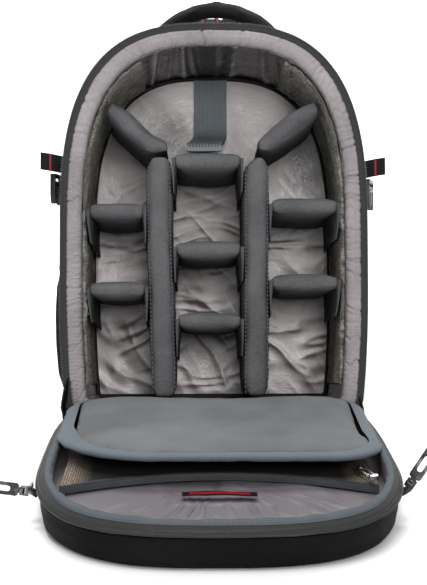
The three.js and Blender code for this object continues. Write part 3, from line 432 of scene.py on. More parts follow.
@dataclass(frozen=True)
class Stuffing:
    """Foam under cloth: the piece is remeshed, swelled as cloth and smoothed."""

    voxel: float = 5.0
    pressure: float = 4.0
    most: float = 4.0
    shrink: float = 1.5
    rumple: float = 0.4
    frames: int = 20

    def prepare(self, obj: bpy.types.Object) -> None:
        """Remeshes the piece a little smaller and puts cloth on it."""
        remesh = obj.modifiers.new("even", "REMESH")
        remesh.mode, remesh.voxel_size, remesh.use_smooth_shade = "VOXEL", self.voxel * MM, True
        self.apply(obj)
        self.write(obj.data, self.read(obj.data) - outward(obj.data) * self.shrink * MM)
        cloth = obj.modifiers.new("cloth", "CLOTH")
        cloth.settings.quality = 4
        cloth.settings.use_pressure = True
        cloth.settings.uniform_pressure_force = self.pressure
        cloth.settings.effector_weights.gravity = 0
        cloth.collision_settings.use_collision = False
        cloth.point_cache.frame_start, cloth.point_cache.frame_end = 1, self.frames

    def fill(self, pieces: list[bpy.types.Object]) -> None:
        """Runs the cloth of all the prepared pieces at once and keeps the result.

        Args:
            pieces: Objects that prepare was called on.
        """
        for number in range(1, self.frames + 1):
            bpy.context.scene.frame_set(number)
        for obj in pieces:
            start = self.read(obj.data)
            end = self.read(obj.evaluated_get(bpy.context.evaluated_depsgraph_get()).data)
            move = end - start
            length = np.maximum(np.linalg.norm(move, axis=1, keepdims=True), 1e-9)
            limit = self.most * MM
            self.write(obj.data, start + move / length * limit * np.tanh(length / limit))
            obj.modifiers.clear()
            soften = obj.modifiers.new("soften", "SMOOTH")
            soften.iterations = 2
            self.apply(obj)
            finer_cloth = obj.modifiers.new("finer", "SUBSURF")
            finer_cloth.levels = finer_cloth.render_levels = 1
            self.apply(obj)
            points = self.read(obj.data)
            slack = NOISE.rough(points / MM * [1, 1, 1.3], 17.0) * self.rumple * MM
            self.write(obj.data, points + outward(obj.data) * slack[:, None])
            obj.data.polygons.foreach_set("use_smooth", [True] * len(obj.data.polygons))
        bpy.context.scene.frame_set(1)

    @staticmethod
    def apply(obj: bpy.types.Object) -> None:
        """Turns the piece's modifiers into plain mesh."""
        seen = obj.evaluated_get(bpy.context.evaluated_depsgraph_get())
        data = bpy.data.meshes.new_from_object(seen)
        obj.modifiers.clear()
        obj.data = data

    @staticmethod
    def read(data: bpy.types.Mesh) -> np.ndarray:
        """Places of the mesh's points."""
        points = np.empty(len(data.vertices) * 3)
        data.vertices.foreach_get("co", points)
        return points.reshape(-1, 3)

    @staticmethod
    def write(data: bpy.types.Mesh, points: np.ndarray) -> None:
        """Moves the mesh's points."""
        data.vertices.foreach_set("co", points.ravel())
        data.update()


# Finishes


def linear(code: str) -> tuple[float, float, float, float]:
    """Linear colour from an sRGB hex value such as "#808080"."""
    values = [int(code[i : i + 2], 16) / 255 for i in (1, 3, 5)]
    r, g, b = (v / 12.92 if v <= 0.04045 else ((v + 0.055) / 1.055) ** 2.4 for v in values)
    return (r, g, b, 1.0)


def add(
    tree: bpy.types.NodeTree,
    kind: str,
    inputs: dict[str | int, object] | None = None,
    settings: dict[str, object] | None = None,
) -> bpy.types.Node:
    """Adds a node with its settings and links.

    Args:
        tree: Node tree to add to.
        kind: Blender's name of the node.
        inputs: Values for its inputs, each a number, a colour or a socket to link.
        settings: Values for its properties.

    Returns:
        The new node.
    """
    node = tree.nodes.new(kind)
    for name, value in (settings or {}).items():
        setattr(node, name, value)
    for name, value in (inputs or {}).items():
        if isinstance(value, bpy.types.NodeSocket):
            tree.links.new(value, node.inputs[name])
        else:
            node.inputs[name].default_value = value
    return node


class Grain(Enum):
    """What a pattern follows: the cloth's own lengths, or the piece's place in space."""

    CLOTH = "weave"
    SPACE = "space"


@dataclass(frozen=True)
class Finish:
    """A finish from what the real material is. Subclasses add its pattern."""

    name: str
    colour: str
    second: str
    roughness: float
    ior: float = 1.53
    metallic: float = 0.0
    sheen: float = 0.0
    shine: float = 0.3
    grain: Grain = Grain.CLOTH

    def material(self) -> bpy.types.Material:
        """The material, made on first use."""
        found = bpy.data.materials.get(self.name)
        if found:
            return found
        material = bpy.data.materials.new(self.name)
        material.use_nodes = True
        tree = material.node_tree
        shader = tree.nodes["Principled BSDF"]
        shader.inputs["Roughness"].default_value = self.roughness
        shader.inputs["Metallic"].default_value = self.metallic
        shader.inputs["Sheen Weight"].default_value = self.sheen
        shader.inputs["Sheen Roughness"].default_value = 0.5
        if not self.metallic:
            shader.inputs["IOR"].default_value = self.ior
            shader.inputs["Specular IOR Level"].default_value = self.shine
        self.dress(tree, shader)
        return material

    def where(self, tree: bpy.types.NodeTree) -> Socket:
        """Coordinates in millimetres along the grain."""
        if self.grain is Grain.CLOTH:
            node = add(tree, "ShaderNodeAttribute", settings={"attribute_name": "weave"})
            return node.outputs["Vector"]
        node = add(tree, "ShaderNodeTexCoord")
        scale = {"operation": "SCALE"}
        return add(tree, "ShaderNodeVectorMath", {0: node.outputs["Object"], "Scale": 1000.0}, scale).outputs[0]

    def noise(self, tree: bpy.types.NodeTree, at: Socket, size: float, detail: float = 3.0) -> Socket:
        """Noise whose lumps are about size millimetres."""
        return add(tree, "ShaderNodeTexNoise", {"Vector": at, "Scale": 0.6 / size, "Detail": detail}).outputs[0]

    def ribs(self, tree: bpy.types.NodeTree, at: Socket, pitch: float, axis: str, wander: float = 0.0) -> Socket:
        """Rounded ridges one pitch apart along X or Y, in millimetres."""
        inputs = {"Vector": at, "Scale": math.pi / 10 / pitch, "Distortion": wander, "Detail": 1.0}
        return add(tree, "ShaderNodeTexWave", inputs, {"bands_direction": axis}).outputs["Fac"]

    def mix(self, tree: bpy.types.NodeTree, amount: Socket, first: object, then: object) -> Socket:
        """Colour between two by an amount, either one a hex value or a socket."""
        sides = [linear(c) if isinstance(c, str) else c for c in (first, then)]
        return add(tree, "ShaderNodeMix", {0: amount, 6: sides[0], 7: sides[1]}, {"data_type": "RGBA"}).outputs[2]

    def math(self, tree: bpy.types.NodeTree, how: str, first: object, then: object) -> Socket:
        """One sum of two values or sockets."""
        return add(tree, "ShaderNodeMath", {0: first, 1: then}, {"operation": how}).outputs[0]

    def spread(self, tree: bpy.types.NodeTree, value: Socket, low: float, high: float) -> Socket:
        """Stretches low to high over 0 to 1."""
        return add(tree, "ShaderNodeMapRange", {"Value": value, "From Min": low, "From Max": high}).outputs[0]

    def relief(self, tree: bpy.types.NodeTree, shader: bpy.types.Node, height: Socket, depth: float) -> None:
        """Bumps the surface by a height of depth millimetres."""
        bump = add(tree, "ShaderNodeBump", {"Height": height, "Distance": depth * MM, "Strength": 1.0})
        tree.links.new(bump.outputs[0], shader.inputs["Normal"])

    def dress(self, tree: bpy.types.NodeTree, shader: bpy.types.Node) -> None:
        """Adds the pattern. The plain finish has soft clouds of its second colour."""
        cloud = self.noise(tree, self.where(tree), 30)
        tree.links.new(self.mix(tree, cloud, self.colour, self.second), shader.inputs["Base Color"])


@dataclass(frozen=True)
class WovenCloth(Finish):
    """Plain woven cloth. The eye sees a fine grid of threads that catches light, and soft tonal clouds."""

    thread: float = 1.2
    depth: float = 0.12
    cloud: float = 45.0
    slub: float = 0.3
    fold: tuple[float, float, float] = (0.0, 0.0, 0.0)
    # Painted light: one colour for painted shade in fold hollows and one for a painted highlight on fold crests.
    hollow_painted_shade: str = ""
    crest_painted_highlight: str = ""

    def dress(self, tree: bpy.types.NodeTree, shader: bpy.types.Node) -> None:
        """Warp and weft ridges, uneven threads and clouds of tone, and where those colours are given, painted shade in
        fold hollows and a painted highlight on fold crests.
        """
        at = self.where(tree)
        warp = self.ribs(tree, at, self.thread, "X", 0.4)
        weft = self.ribs(tree, at, self.thread, "Y", 0.4)
        weave = self.math(tree, "MULTIPLY", warp, weft)
        uneven = self.noise(tree, at, self.thread * 3)
        cloud = self.spread(tree, self.noise(tree, at, self.cloud, 2.0), 0.3, 0.7)
        tone = self.mix(tree, cloud, self.colour, self.second)
        # Painted light from the weave's third value: shade towards the hollows, highlight towards the crests.
        if self.crest_painted_highlight:
            painted_light = add(tree, "ShaderNodeSeparateXYZ", {0: at}).outputs[2]
            tone = self.mix(tree, self.spread(tree, painted_light, 0.0, 0.5), self.hollow_painted_shade, tone)
            tone = self.mix(tree, self.spread(tree, painted_light, 0.5, 1.0), tone, self.crest_painted_highlight)
        dark = self.math(tree, "MULTIPLY", self.math(tree, "SUBTRACT", 1.0, weave), self.slub)
        tree.links.new(self.mix(tree, dark, tone, self.second), shader.inputs["Base Color"])
        rough = self.math(tree, "MULTIPLY_ADD", uneven, 0.25)
        rough.node.inputs[2].default_value = self.roughness - 0.12
        tree.links.new(rough, shader.inputs["Roughness"])
        height = self.math(tree, "MULTIPLY", self.math(tree, "ADD", weave, uneven), self.depth)
        along, across, deep = self.fold
        if deep:
            narrow = (30 / along, 30 / across, 1.0)
            bent = add(tree, "ShaderNodeVectorMath", {0: at, 1: narrow}, {"operation": "MULTIPLY"}).outputs[0]
            off = self.math(tree, "SUBTRACT", self.noise(tree, bent, 30, 2.0), 0.5)
            ridge = self.math(tree, "ABSOLUTE", off, 0.0)
            height = self.math(tree, "SUBTRACT", height, self.math(tree, "MULTIPLY", ridge, deep * 3))
        self.relief(tree, shader, height, 1.0)


@dataclass(frozen=True)
class BrushedKnit(Finish):
    """Brushed loop knit over foam. The eye sees a dull felted nap with fine lighter flecks."""

    nap: float = 1.4
    depth: float = 0.35

    def dress(self, tree: bpy.types.NodeTree, shader: bpy.types.Node) -> None:
        """A short nap, flecks of two sizes and worn, lighter places."""
        at = self.where(tree)
        nap = self.noise(tree, at, self.nap, 4.0)
        fleck = add(tree, "ShaderNodeTexVoronoi", {"Vector": at, "Scale": 0.55 / self.nap}).outputs["Distance"]
        worn = self.spread(tree, self.noise(tree, at, 26.0), 0.35, 0.75)
        mixed = self.math(tree, "MULTIPLY_ADD", nap, 0.7)
        tree.links.new(self.math(tree, "MULTIPLY", worn, 0.45), mixed.node.inputs[2])
        tree.links.new(self.mix(tree, mixed, self.second, self.colour), shader.inputs["Base Color"])
        self.relief(tree, shader, self.math(tree, "SUBTRACT", nap, fleck), self.depth)


@dataclass(frozen=True)
class LoopPile(Finish):
    """Loop side of hook-and-loop cloth. The eye sees dark curls with pale specks and a crushed, wavy lie."""

    curl: float = 1.5

    def dress(self, tree: bpy.types.NodeTree, shader: bpy.types.Node) -> None:
        """Curled loops, specks on their crowns and patches where the pile is crushed."""
        at = self.where(tree)
        bent = self.noise(tree, at, 9.0)
        warped = add(tree, "ShaderNodeVectorMath", {0: at, 1: bent}, {"operation": "ADD"}).outputs[0]
        curls = add(tree, "ShaderNodeTexVoronoi", {"Vector": warped, "Scale": 0.9 / self.curl}).outputs["Distance"]
        crushed = self.noise(tree, at, 7.0)
        crown = self.spread(tree, self.math(tree, "MULTIPLY", curls, crushed), 0.08, 0.4)
        tree.links.new(self.mix(tree, crown, self.colour, self.second), shader.inputs["Base Color"])
        self.relief(tree, shader, self.math(tree, "ADD", curls, crushed), 0.7)


@dataclass(frozen=True)
class Webbing(Finish):
    """Flat woven webbing or ribbon. The eye sees ribs across it, a finer twill and firm edges."""

    rib: float = 2.4
    depth: float = 0.35
    axis: str = "X"

    def dress(self, tree: bpy.types.NodeTree, shader: bpy.types.Node) -> None:
        """Ribs, the finer threads over them and slight fading."""
        at = self.where(tree)
        ribs = self.ribs(tree, at, self.rib, self.axis, 0.3)
        fine = self.ribs(tree, at, self.rib * 0.9, "Y" if self.axis == "X" else "X", 0.6)
        tone = self.math(tree, "MULTIPLY", ribs, self.math(tree, "ADD", 0.5, fine))
        fade = self.math(tree, "ADD", tone, self.math(tree, "MULTIPLY", self.noise(tree, at, 14.0), 0.5))
        tone = self.mix(tree, self.spread(tree, fade, 0.0, 1.4), self.second, self.colour)
        tree.links.new(tone, shader.inputs["Base Color"])
        self.relief(tree, shader, self.math(tree, "ADD", ribs, self.math(tree, "MULTIPLY", fine, 0.4)), self.depth)


@dataclass(frozen=True)
class KnitMesh(Finish):
    """Open knit mesh. The eye sees pale threads round rows of small dark holes."""

    hole: float = 3.2
    painted_shade_half: float = 0.0
    middle: float = 0.0

    def dress(self, tree: bpy.types.NodeTree, shader: bpy.types.Node) -> None:
        """Holes in staggered rows with threads that stand proud between them, and where given, a painted shade across
        the net's middle.
        """
        at = self.where(tree)
        inputs = {"Vector": at, "Scale": 1.0 / self.hole, "Randomness": 0.35}
        cells = add(tree, "ShaderNodeTexVoronoi", inputs, {"distance": "EUCLIDEAN"}).outputs["Distance"]
        thread = self.spread(tree, cells, 0.28, 0.5)
        fuzz = self.math(tree, "MULTIPLY", thread, self.math(tree, "ADD", 0.4, self.noise(tree, at, 5.0)))
        tone = self.mix(tree, fuzz, self.second, self.colour)
        # Painted shade: across the middle the net is darkened to near-black where the flap shades it.
        if self.painted_shade_half:
            along = add(tree, "ShaderNodeSeparateXYZ", {0: at}).outputs[1]
            off = self.math(tree, "ABSOLUTE", self.math(tree, "SUBTRACT", along, self.middle), 0.0)
            tone = self.mix(tree, self.spread(tree, off, self.painted_shade_half - 14, self.painted_shade_half + 6), "#121110", tone)
        tree.links.new(tone, shader.inputs["Base Color"])
        self.relief(tree, shader, thread, 0.6)


@dataclass(frozen=True)
class CastMetal(Finish):
    """Die-cast zinc, plated or lacquered. The eye sees soft casting waves and rubbed, brighter wear."""

    polish: float = 0.35

    def dress(self, tree: bpy.types.NodeTree, shader: bpy.types.Node) -> None:
        """Casting waves, wear in patches and scratches that change only the roughness."""
        at = self.where(tree)
        wave = self.noise(tree, at, 4.0)
        wear = self.spread(tree, self.noise(tree, at, 7.0, 5.0), 0.5, 0.68)
        scratch = self.noise(tree, at, 0.9, 2.0)
        tree.links.new(self.mix(tree, wear, self.colour, self.second), shader.inputs["Base Color"])
        rough = self.math(tree, "MULTIPLY_ADD", scratch, self.polish)
        rough.node.inputs[2].default_value = max(0.05, self.roughness - self.polish / 2)
        tree.links.new(rough, shader.inputs["Roughness"])
        self.relief(tree, shader, wave, 0.12)


@dataclass(frozen=True)
class Moulded(Finish):
    """Injection-moulded acetal or drawn nylon. The eye sees an even skin with a faint spark-eroded grain."""

    grit: float = 0.8
    depth: float = 0.06

    def dress(self, tree: bpy.types.NodeTree, shader: bpy.types.Node) -> None:
        """Fine grain, faint flow marks and a slight bloom."""
        at = self.where(tree)
        grit = self.noise(tree, at, self.grit, 2.0)
        bloom = self.spread(tree, self.noise(tree, at, 8.0), 0.35, 0.8)
        tree.links.new(self.mix(tree, bloom, self.colour, self.second), shader.inputs["Base Color"])
        rough = self.math(tree, "MULTIPLY_ADD", bloom, 0.2)
        rough.node.inputs[2].default_value = self.roughness - 0.08
        tree.links.new(rough, shader.inputs["Roughness"])
        self.relief(tree, shader, grit, self.depth)


# Threads finer than a millimetre can't show at this distance, so weaves are drawn at 1.5 to 3 mm.
SHELL = WovenCloth("coated_polyester_cloth", "#161617", "#0d0d0e", 0.7, shine=0.05, thread=2.2, depth=0.22)
RIM = WovenCloth(
    "nylon_taffeta_rim", "#958f91", "#787375", 0.5, thread=1.8, depth=0.12, slub=0.25, fold=(1.6, 12, 0.8)
)
# Back lining satin, with a painted shade colour for fold hollows and a painted highlight colour for fold crests.
LINING = WovenCloth(
    "satin_nylon_lining", "#c6bebd", "#b0a8a7", 0.32, shine=0.5, thread=1.6, depth=0.02, slub=0.06, cloud=60,
    fold=(2.2, 1.6, 0.2), hollow_painted_shade="#5a5453", crest_painted_highlight="#f6f2f0",
)  # fmt: skip
# The same satin in the walls, painted much darker as shade where it turns from the light, with a painted highlight on
# its fold crests.
WALL_LINING_PAINTED_SHADE = WovenCloth(
    "satin_nylon_wall_painted_shade", "#2b2625", "#181514", 0.3, thread=1.6, depth=0.03, slub=0.06, fold=(4, 22, 0.4),
    hollow_painted_shade="#12100f", crest_painted_highlight="#887e7b",
)  # fmt: skip
LID_LINING = WovenCloth(
    "nylon_taffeta_lid", "#726d71", "#545054", 0.4, thread=1.6, depth=0.05, slub=0.1, fold=(6, 24, 0.5),
)  # fmt: skip
FLAP = WovenCloth(
    "oxford_nylon_flap", "#6e6f70", "#595a5b", 0.8, shine=0.05, grain=Grain.SPACE, thread=2.0, depth=0.14
)
DIVIDER = BrushedKnit("brushed_loop_knit", "#646466", "#3f4041", 0.95, shine=0.1, grain=Grain.SPACE)
HOOK_TAB = BrushedKnit("hook_tape", "#5b5c5d", "#252627", 0.8, shine=0.1, nap=2.4, depth=0.6)
LOOP = LoopPile("loop_tape", "#55544f", "#918f88", 0.9, shine=0.1)
STRAP = Webbing("ribbed_nylon_webbing", "#8b9297", "#5b6166", 0.6, rib=2.2)
STRAP_END = Webbing("herringbone_hook_tape", "#a1a6aa", "#5b5f62", 0.85, rib=3.4, depth=0.6)
BINDING = Webbing("grosgrain_binding", "#596065", "#393f43", 0.7, shine=0.05, rib=1.8, depth=0.12)
# Painted light: the flap's ribbon is the same grosgrain as the binding, lightened for the light on the flap's front.
FLAP_BINDING_PAINTED_LIGHT = Webbing("grosgrain_flap_binding_painted_light", "#6a7177", "#4b5156", 0.7, shine=0.05, rib=1.8, depth=0.12)
# Painted shade: the pocket band's grosgrain is darkened for the shade under the flap.
POCKET_BAND_PAINTED_SHADE = Webbing("grosgrain_pocket_band_painted_shade", "#45494d", "#242629", 0.65, rib=1.8, depth=0.12)
WEBBING = Webbing("polyester_webbing", "#1d1d1d", "#0c0c0c", 0.8, shine=0.15, rib=2.0, depth=0.3)
RED = Webbing("red_bartack_thread", "#a02533", "#661720", 0.7, rib=1.2, depth=0.2)
PIPING = WovenCloth("red_piping_cord", "#b42535", "#861a26", 0.6, thread=1.5, depth=0.1)
DARK_PIPING = WovenCloth("dark_piping_cord", "#2b2b2c", "#191919", 0.8, thread=1.5, depth=0.15)
ZIP_TAPE = Webbing("zip_tape", "#0d0d0e", "#070708", 0.9, shine=0.0, rib=1.6, depth=0.15)
# The coil is black; its grey first colour is a painted highlight for the glints along its teeth.
ZIP_COIL = Moulded("nylon_zip_coil", "#3c3e3d", "#191a1a", 0.34)
# The net's middle is painted near-black as the shade under the flap; its ends show the tan threads.
MESH = KnitMesh("knit_mesh", "#938375", "#2a2421", 0.85, hole=2.2, painted_shade_half=124.0, middle=137.0)
SPACER = KnitMesh("spacer_mesh", "#323335", "#101011", 0.9, grain=Grain.SPACE, hole=4.0)
PAD_CLOTH = WovenCloth("padded_handle_cloth", "#222324", "#131414", 0.8, shine=0.15, grain=Grain.SPACE, thread=2.4)
LABEL = Webbing("woven_label", "#2a1a1c", "#0e0c0d", 0.8, shine=0.0, rib=1.2, depth=0.1)
LABEL_RED = Webbing("woven_label_centre", "#8d2029", "#4c0f15", 0.8, shine=0.0, rib=1.2, depth=0.1)
BRIGHT_ZINC = CastMetal("bright_plated_zinc", "#d9d9d6", "#b9b7b1", 0.25, metallic=1.0, grain=Grain.SPACE)
BLACK_ZINC = CastMetal("black_lacquered_zinc", "#3a3b3c", "#7a7a77", 0.3, metallic=1.0, grain=Grain.SPACE)
ACETAL = Moulded("moulded_acetal", "#1c1d1e", "#2c2d2e", 0.3, ior=1.48, grain=Grain.SPACE)
FRAY = Moulded("frayed_polyester_ends", "#7f7e78", "#55544f", 0.7)
THREAD = Moulded("polyester_thread", "#636567", "#47494a", 0.6)


def dressed(
    obj: bpy.types.Object, finish: Finish, nodes: tuple[str, ...] = (), body: str = "bag"
) -> bpy.types.Object:
    """Gives a piece its finish and its place in the model.

    Args:
        obj: The piece.
        finish: What it is made of.
        nodes: Solids that it stands for.
        body: What it moves with.

    Returns:
        The piece.
    """
    obj.data.materials.clear()
    obj.data.materials.append(finish.material())
    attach(obj, body)
    if nodes:
        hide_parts(*nodes)
    log.info("%s: %d faces, %s", obj.name, len(obj.data.polygons), finish.name)
    return obj


def box_of(node: str) -> np.ndarray:
    """A solid's lowest and highest corners in millimetres."""
    return np.array(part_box(node)) / MM


@dataclass
class Hinge:
    """Where body and lid meet, read from the solids."""

    lid_depth: float = 40.0
    body_depth: float = 222.0
    back_round: float = 16.0
    lean: float = field(init=False)
    body: Place = field(init=False)
    lid: Place = field(init=False)

    def __post_init__(self) -> None:
        """Works out the lean from the lid's depth and the body's, then both places."""
        run, rise = self.body_depth - self.back_round, self.back_round + PLAN.gap
        bend = math.acos((self.back_round - self.lid_depth) / math.hypot(rise, run))
        self.lean = bend - math.atan2(run, rise)
        low, high = box_of("lid_shell")
        origin = ((low[0] + high[0]) / 2, high[1] + PLAN.gap, self.lid_depth)
        self.body, self.lid = Place(origin, self.lean, True), Place(origin, None)


HINGE = Hinge()


@dataclass
class Body:
    """The standing half: shell, padded rim, lining, piping, zip and loop cloth."""

    wall: float = 14.0
    lining: float = 1.5
    seam: float = 0.3
    rim_thick: float = 8.0
    depth: float = 222.0
    back: float = 50.0
    back_round: float = 16.0
    columns: int = 1200

    @property
    def inside(self) -> float:
        """Zip's edge to the lining's face."""
        return PLAN.flange + self.wall + self.seam + self.lining

    @property
    def floor(self) -> float:
        """Depth of the lining on the back."""
        return self.depth - self.back - self.seam - self.lining

    def shell(self) -> None:
        """Outside of the walls, rounded into a crowned back, with its inner face behind the lining."""
        front = -self.rim_thick - self.seam
        bend = [
            (PLAN.flange + self.back_round * (1 - math.cos(a)), -(self.depth - self.back_round * (1 - math.sin(a))))
            for a in np.linspace(0, math.pi / 2, 9)
        ]
        turns = PLAN.turns(260)
        walls = finer([(PLAN.flange, front), bend[0]], 56)
        outer = rings(turns, [*walls, *bend[1:]])
        centre = np.array([0, 190, -self.depth])
        shares = np.linspace(1, 0.04, 30)[1:]
        back = np.array([centre + (outer[-1] - centre) * [s, s, 1] for s in shares])
        grid = np.concatenate([outer, back])
        sag = NOISE.rough(grid, 70.0) * 1.3
        depth = -grid[..., 2]
        puffs = 1.2 * np.sin(np.clip((depth - 14) / (self.depth - 40), 0, 1) * math.pi) ** 0.6
        welt = 1.6 * np.exp(-(((depth - 20) / 2.2) ** 2)) + 1.6 * np.exp(-(((depth - self.depth + 20) / 2.4) ** 2))
        wall = (np.arange(len(grid)) < len(walls) + 2)[:, None]
        hold = np.clip((depth - 9) / 14, 0, 1)
        low = grid[..., 1] < 60
        amount = np.where(wall, (sag + puffs) * hold + welt, sag * 0.6)
        amount = np.where(low & (grid[..., 2] < -self.depth + 30), np.minimum(amount, 0.2), amount)
        grid = pushed(grid, -amount, True)
        inset = PLAN.flange + self.wall
        inner = rings(turns, [(inset, -(self.depth - self.back)), (inset, front)])
        mesh = Mesh(HINGE.body)
        mesh.closed(np.concatenate([inner, grid]), flip=True)
        dressed(mesh.object("body_shell_cloth"), SHELL, ("body_shell",))

    def rim(self) -> None:
        """Padded ring of light cloth with the creases and gathers of a bent foam edge."""
        outer, width = PLAN.flange + self.seam, self.wall + self.lining
        top, rows_count = self.rim_thick, 22
        section = [
            (0.0, -1.0), (0.0, -0.35), (0.05, -0.12), (0.16, 0.06), (0.34, 0.17), (0.5, 0.2),
            (0.66, 0.17), (0.84, 0.04), (0.96, -0.16), (1.0, -0.45), (1.0, -1.0),
        ]  # fmt: skip
        turns = PLAN.turns(self.columns)
        grid = rings(turns, finer([(outer + width * a, top * b) for a, b in section], rows_count))
        run = np.linspace(0, self.length(), self.columns, endpoint=False)[None, :].repeat(rows_count, axis=0)
        rows = np.linspace(0, 1, rows_count)[:, None]
        rng = np.random.default_rng(11)
        half = self.length() / 2
        spots = list(rng.uniform(150, 2 * half - 150, 60))
        for shoulder in (half - 235, half + 235):
            spots.extend(rng.normal(shoulder, 60, 26))
        places = [(spot, rng.uniform(0.9, 2.2), rng.uniform(0.2, 1.0)) for spot in spots]
        slant = run + 7 * NOISE.on(run / 30, rows * 3)
        height = creases(slant, places) * np.clip(1.6 * np.sin(np.pi * rows), 0, 1)
        low = np.clip(1 - (grid[..., 1] - 60) / 90, 0, 1) * np.clip((grid[..., 1] - 14) / 8, 0, 1)
        pitch = 3.6 + 0.5 * NOISE.on(grid[..., 1] / 40, 0.0, np.sign(grid[..., 0]) * 2.2)
        wave = np.sin(grid[..., 1] / pitch * 2 * math.pi + 1.6 * NOISE.rough(grid, 12.0))
        height += low * 0.5 * wave * np.sin(np.pi * rows) ** 0.5
        scallop = 0.8 * NOISE.on(run / 9, 4.4) * np.clip((rows - 0.55) * 3, 0, 1)
        height += 0.3 * NOISE.rough(grid, 16.0) + scallop - 0.9 * np.exp(-(((rows - 0.4) / 0.035) ** 2))
        mesh = Mesh(HINGE.body)
        mesh.grid(pushed(grid, np.minimum(height, 0.7), True), wrap=True)
        mesh.grid(grid[[-1, 0]], wrap=True)
        obj = dressed(mesh.object("padded_rim"), RIM, ("body_rim",))
        self.weld(obj)

    @staticmethod
    def length() -> float:
        """Length of the outline at the rim."""
        line = PLAN.line(12.0, np.linspace(0, 2, 4001))
        return float(np.linalg.norm(np.diff(line, axis=0), axis=1).sum())

    @staticmethod
    def weld(obj: bpy.types.Object) -> None:
        """Joins points that lie together."""
        work = bmesh.new()
        work.from_mesh(obj.data)
        bmesh.ops.remove_doubles(work, verts=work.verts, dist=1e-6)
        bmesh.ops.recalc_face_normals(work, faces=work.faces)
        work.to_mesh(obj.data)
        work.free()

    def wall_lining(self) -> None:
        """Lining on the walls: slack satin with pinched folds across the top."""
        count, rows_count = 640, 34
        turns = PLAN.turns(count)
        front = -self.rim_thick - self.seam
        grid = rings(turns, finer([(self.inside, front), (self.inside, -self.floor)], rows_count))
        run = np.linspace(0, self.length(), count, endpoint=False)[None, :].repeat(rows_count, axis=0)
        rows = np.linspace(0, 1, rows_count)[:, None]
        rng = np.random.default_rng(23)
        half = self.length() / 2
        places = [(half + x, w, d) for x, w, d in [
            (-98, 4, -3.6), (-80, 3, -2.0), (-62, 6, -2.2), (-24, 7, -2.6), (-4, 5, -1.2), (22, 3, -2.0), (34, 5, -2.8),
            (50, 3, -1.6), (72, 5, -3.0), (96, 4, -2.4),
        ]]  # fmt: skip
        for mirrored in (False, True):
            for _ in range(9):
                spot, width, depth = rng.uniform(260, half - 130), rng.uniform(6, 14), rng.uniform(0.5, 1.6)
                places.append((2 * half - spot if mirrored else spot, width, depth))
        slant = run + (rows - 0.5) * 26 * NOISE.on(run / 45, 0.0, 3.3)
        hold = np.sin(np.pi * np.clip(rows, 0.04, 0.96)) ** 0.4
        folds = creases(slant, places)
        height = (folds + 1.0 * NOISE.rough(grid, 34.0)) * hold
        face = pushed(grid, np.clip(height + 0.8 * hold, -0.3, 4.2), True)
        # Painted light: raised pleats get a painted highlight and grooves painted shade, with random patches of both.
        painted_light = np.clip(0.22 + 0.2 * folds + 0.3 * NOISE.rough(grid, 40.0), 0, 1)
        back = rings(turns, [(self.inside - self.lining, -self.floor), (self.inside - self.lining, front)])
        mesh = Mesh(HINGE.body)
        both = np.concatenate([painted_light, np.full((2, count), 0.3)])
        mesh.grid(np.concatenate([face, back]), wrap=True, ring=True, painted_light=both)
        obj = dressed(mesh.object("wall_lining"), WALL_LINING_PAINTED_SHADE, ("body_lining",))
        flat = (self.floor - self.rim_thick, self.length() - 2 * math.pi * 12)

    def back_lining(self) -> None:
        """Lining on the back: one D-shaped sheet with the diagonal folds of slack satin."""
        turns, rows_count = PLAN.turns(400), 108
        edge = rings(turns, [(self.inside, -self.floor)])[0]
        centre = np.array([0, 185, -self.floor])
        shares = np.linspace(1, 0.01, rows_count)
        grid = np.array([centre + (edge - centre) * [s, s, 1] for s in shares])
        x, y = grid[..., 0], grid[..., 1]
        broad = 3.4 * NOISE.on(x / 48, y / 58, 1.7)
        height = broad.copy()
        for angle, width, length, seed, deep in (
            (-28, 20, 90, 2.9, 2.6), (24, 15, 70, 6.1, 2.2), (-50, 11, 50, 9.4, 1.6), (8, 9, 44, 4.2, 1.4)
        ):  # fmt: skip
            a = math.radians(angle)
            bent = 14 * NOISE.on(x / 50, y / 50, seed)
            along = x * math.cos(a) + y * math.sin(a)
            across = -x * math.sin(a) + y * math.cos(a) + bent
            value = NOISE.on(along / length, across / width, seed)
            patch = np.clip(0.45 + 1.5 * NOISE.on(x / 70, y / 70, 3 * seed), 0, 1)
            patch *= 0.12 + 0.88 * np.clip((275 - y) / 60, 0, 1)
            height += deep * (1 - np.abs(value)) ** 2.2 * patch
        radius, spin = np.hypot(x, y - 185), np.arctan2(x, y - 185)
        step = np.maximum(np.hypot(np.gradient(x, axis=1), np.gradient(y, axis=1)), 0.05)
        outward = np.gradient(height, axis=0) / np.minimum(np.gradient(radius, axis=0), -0.05)
        slope = outward * np.cos(spin) + np.gradient(height, axis=1) / step * np.sin(spin)
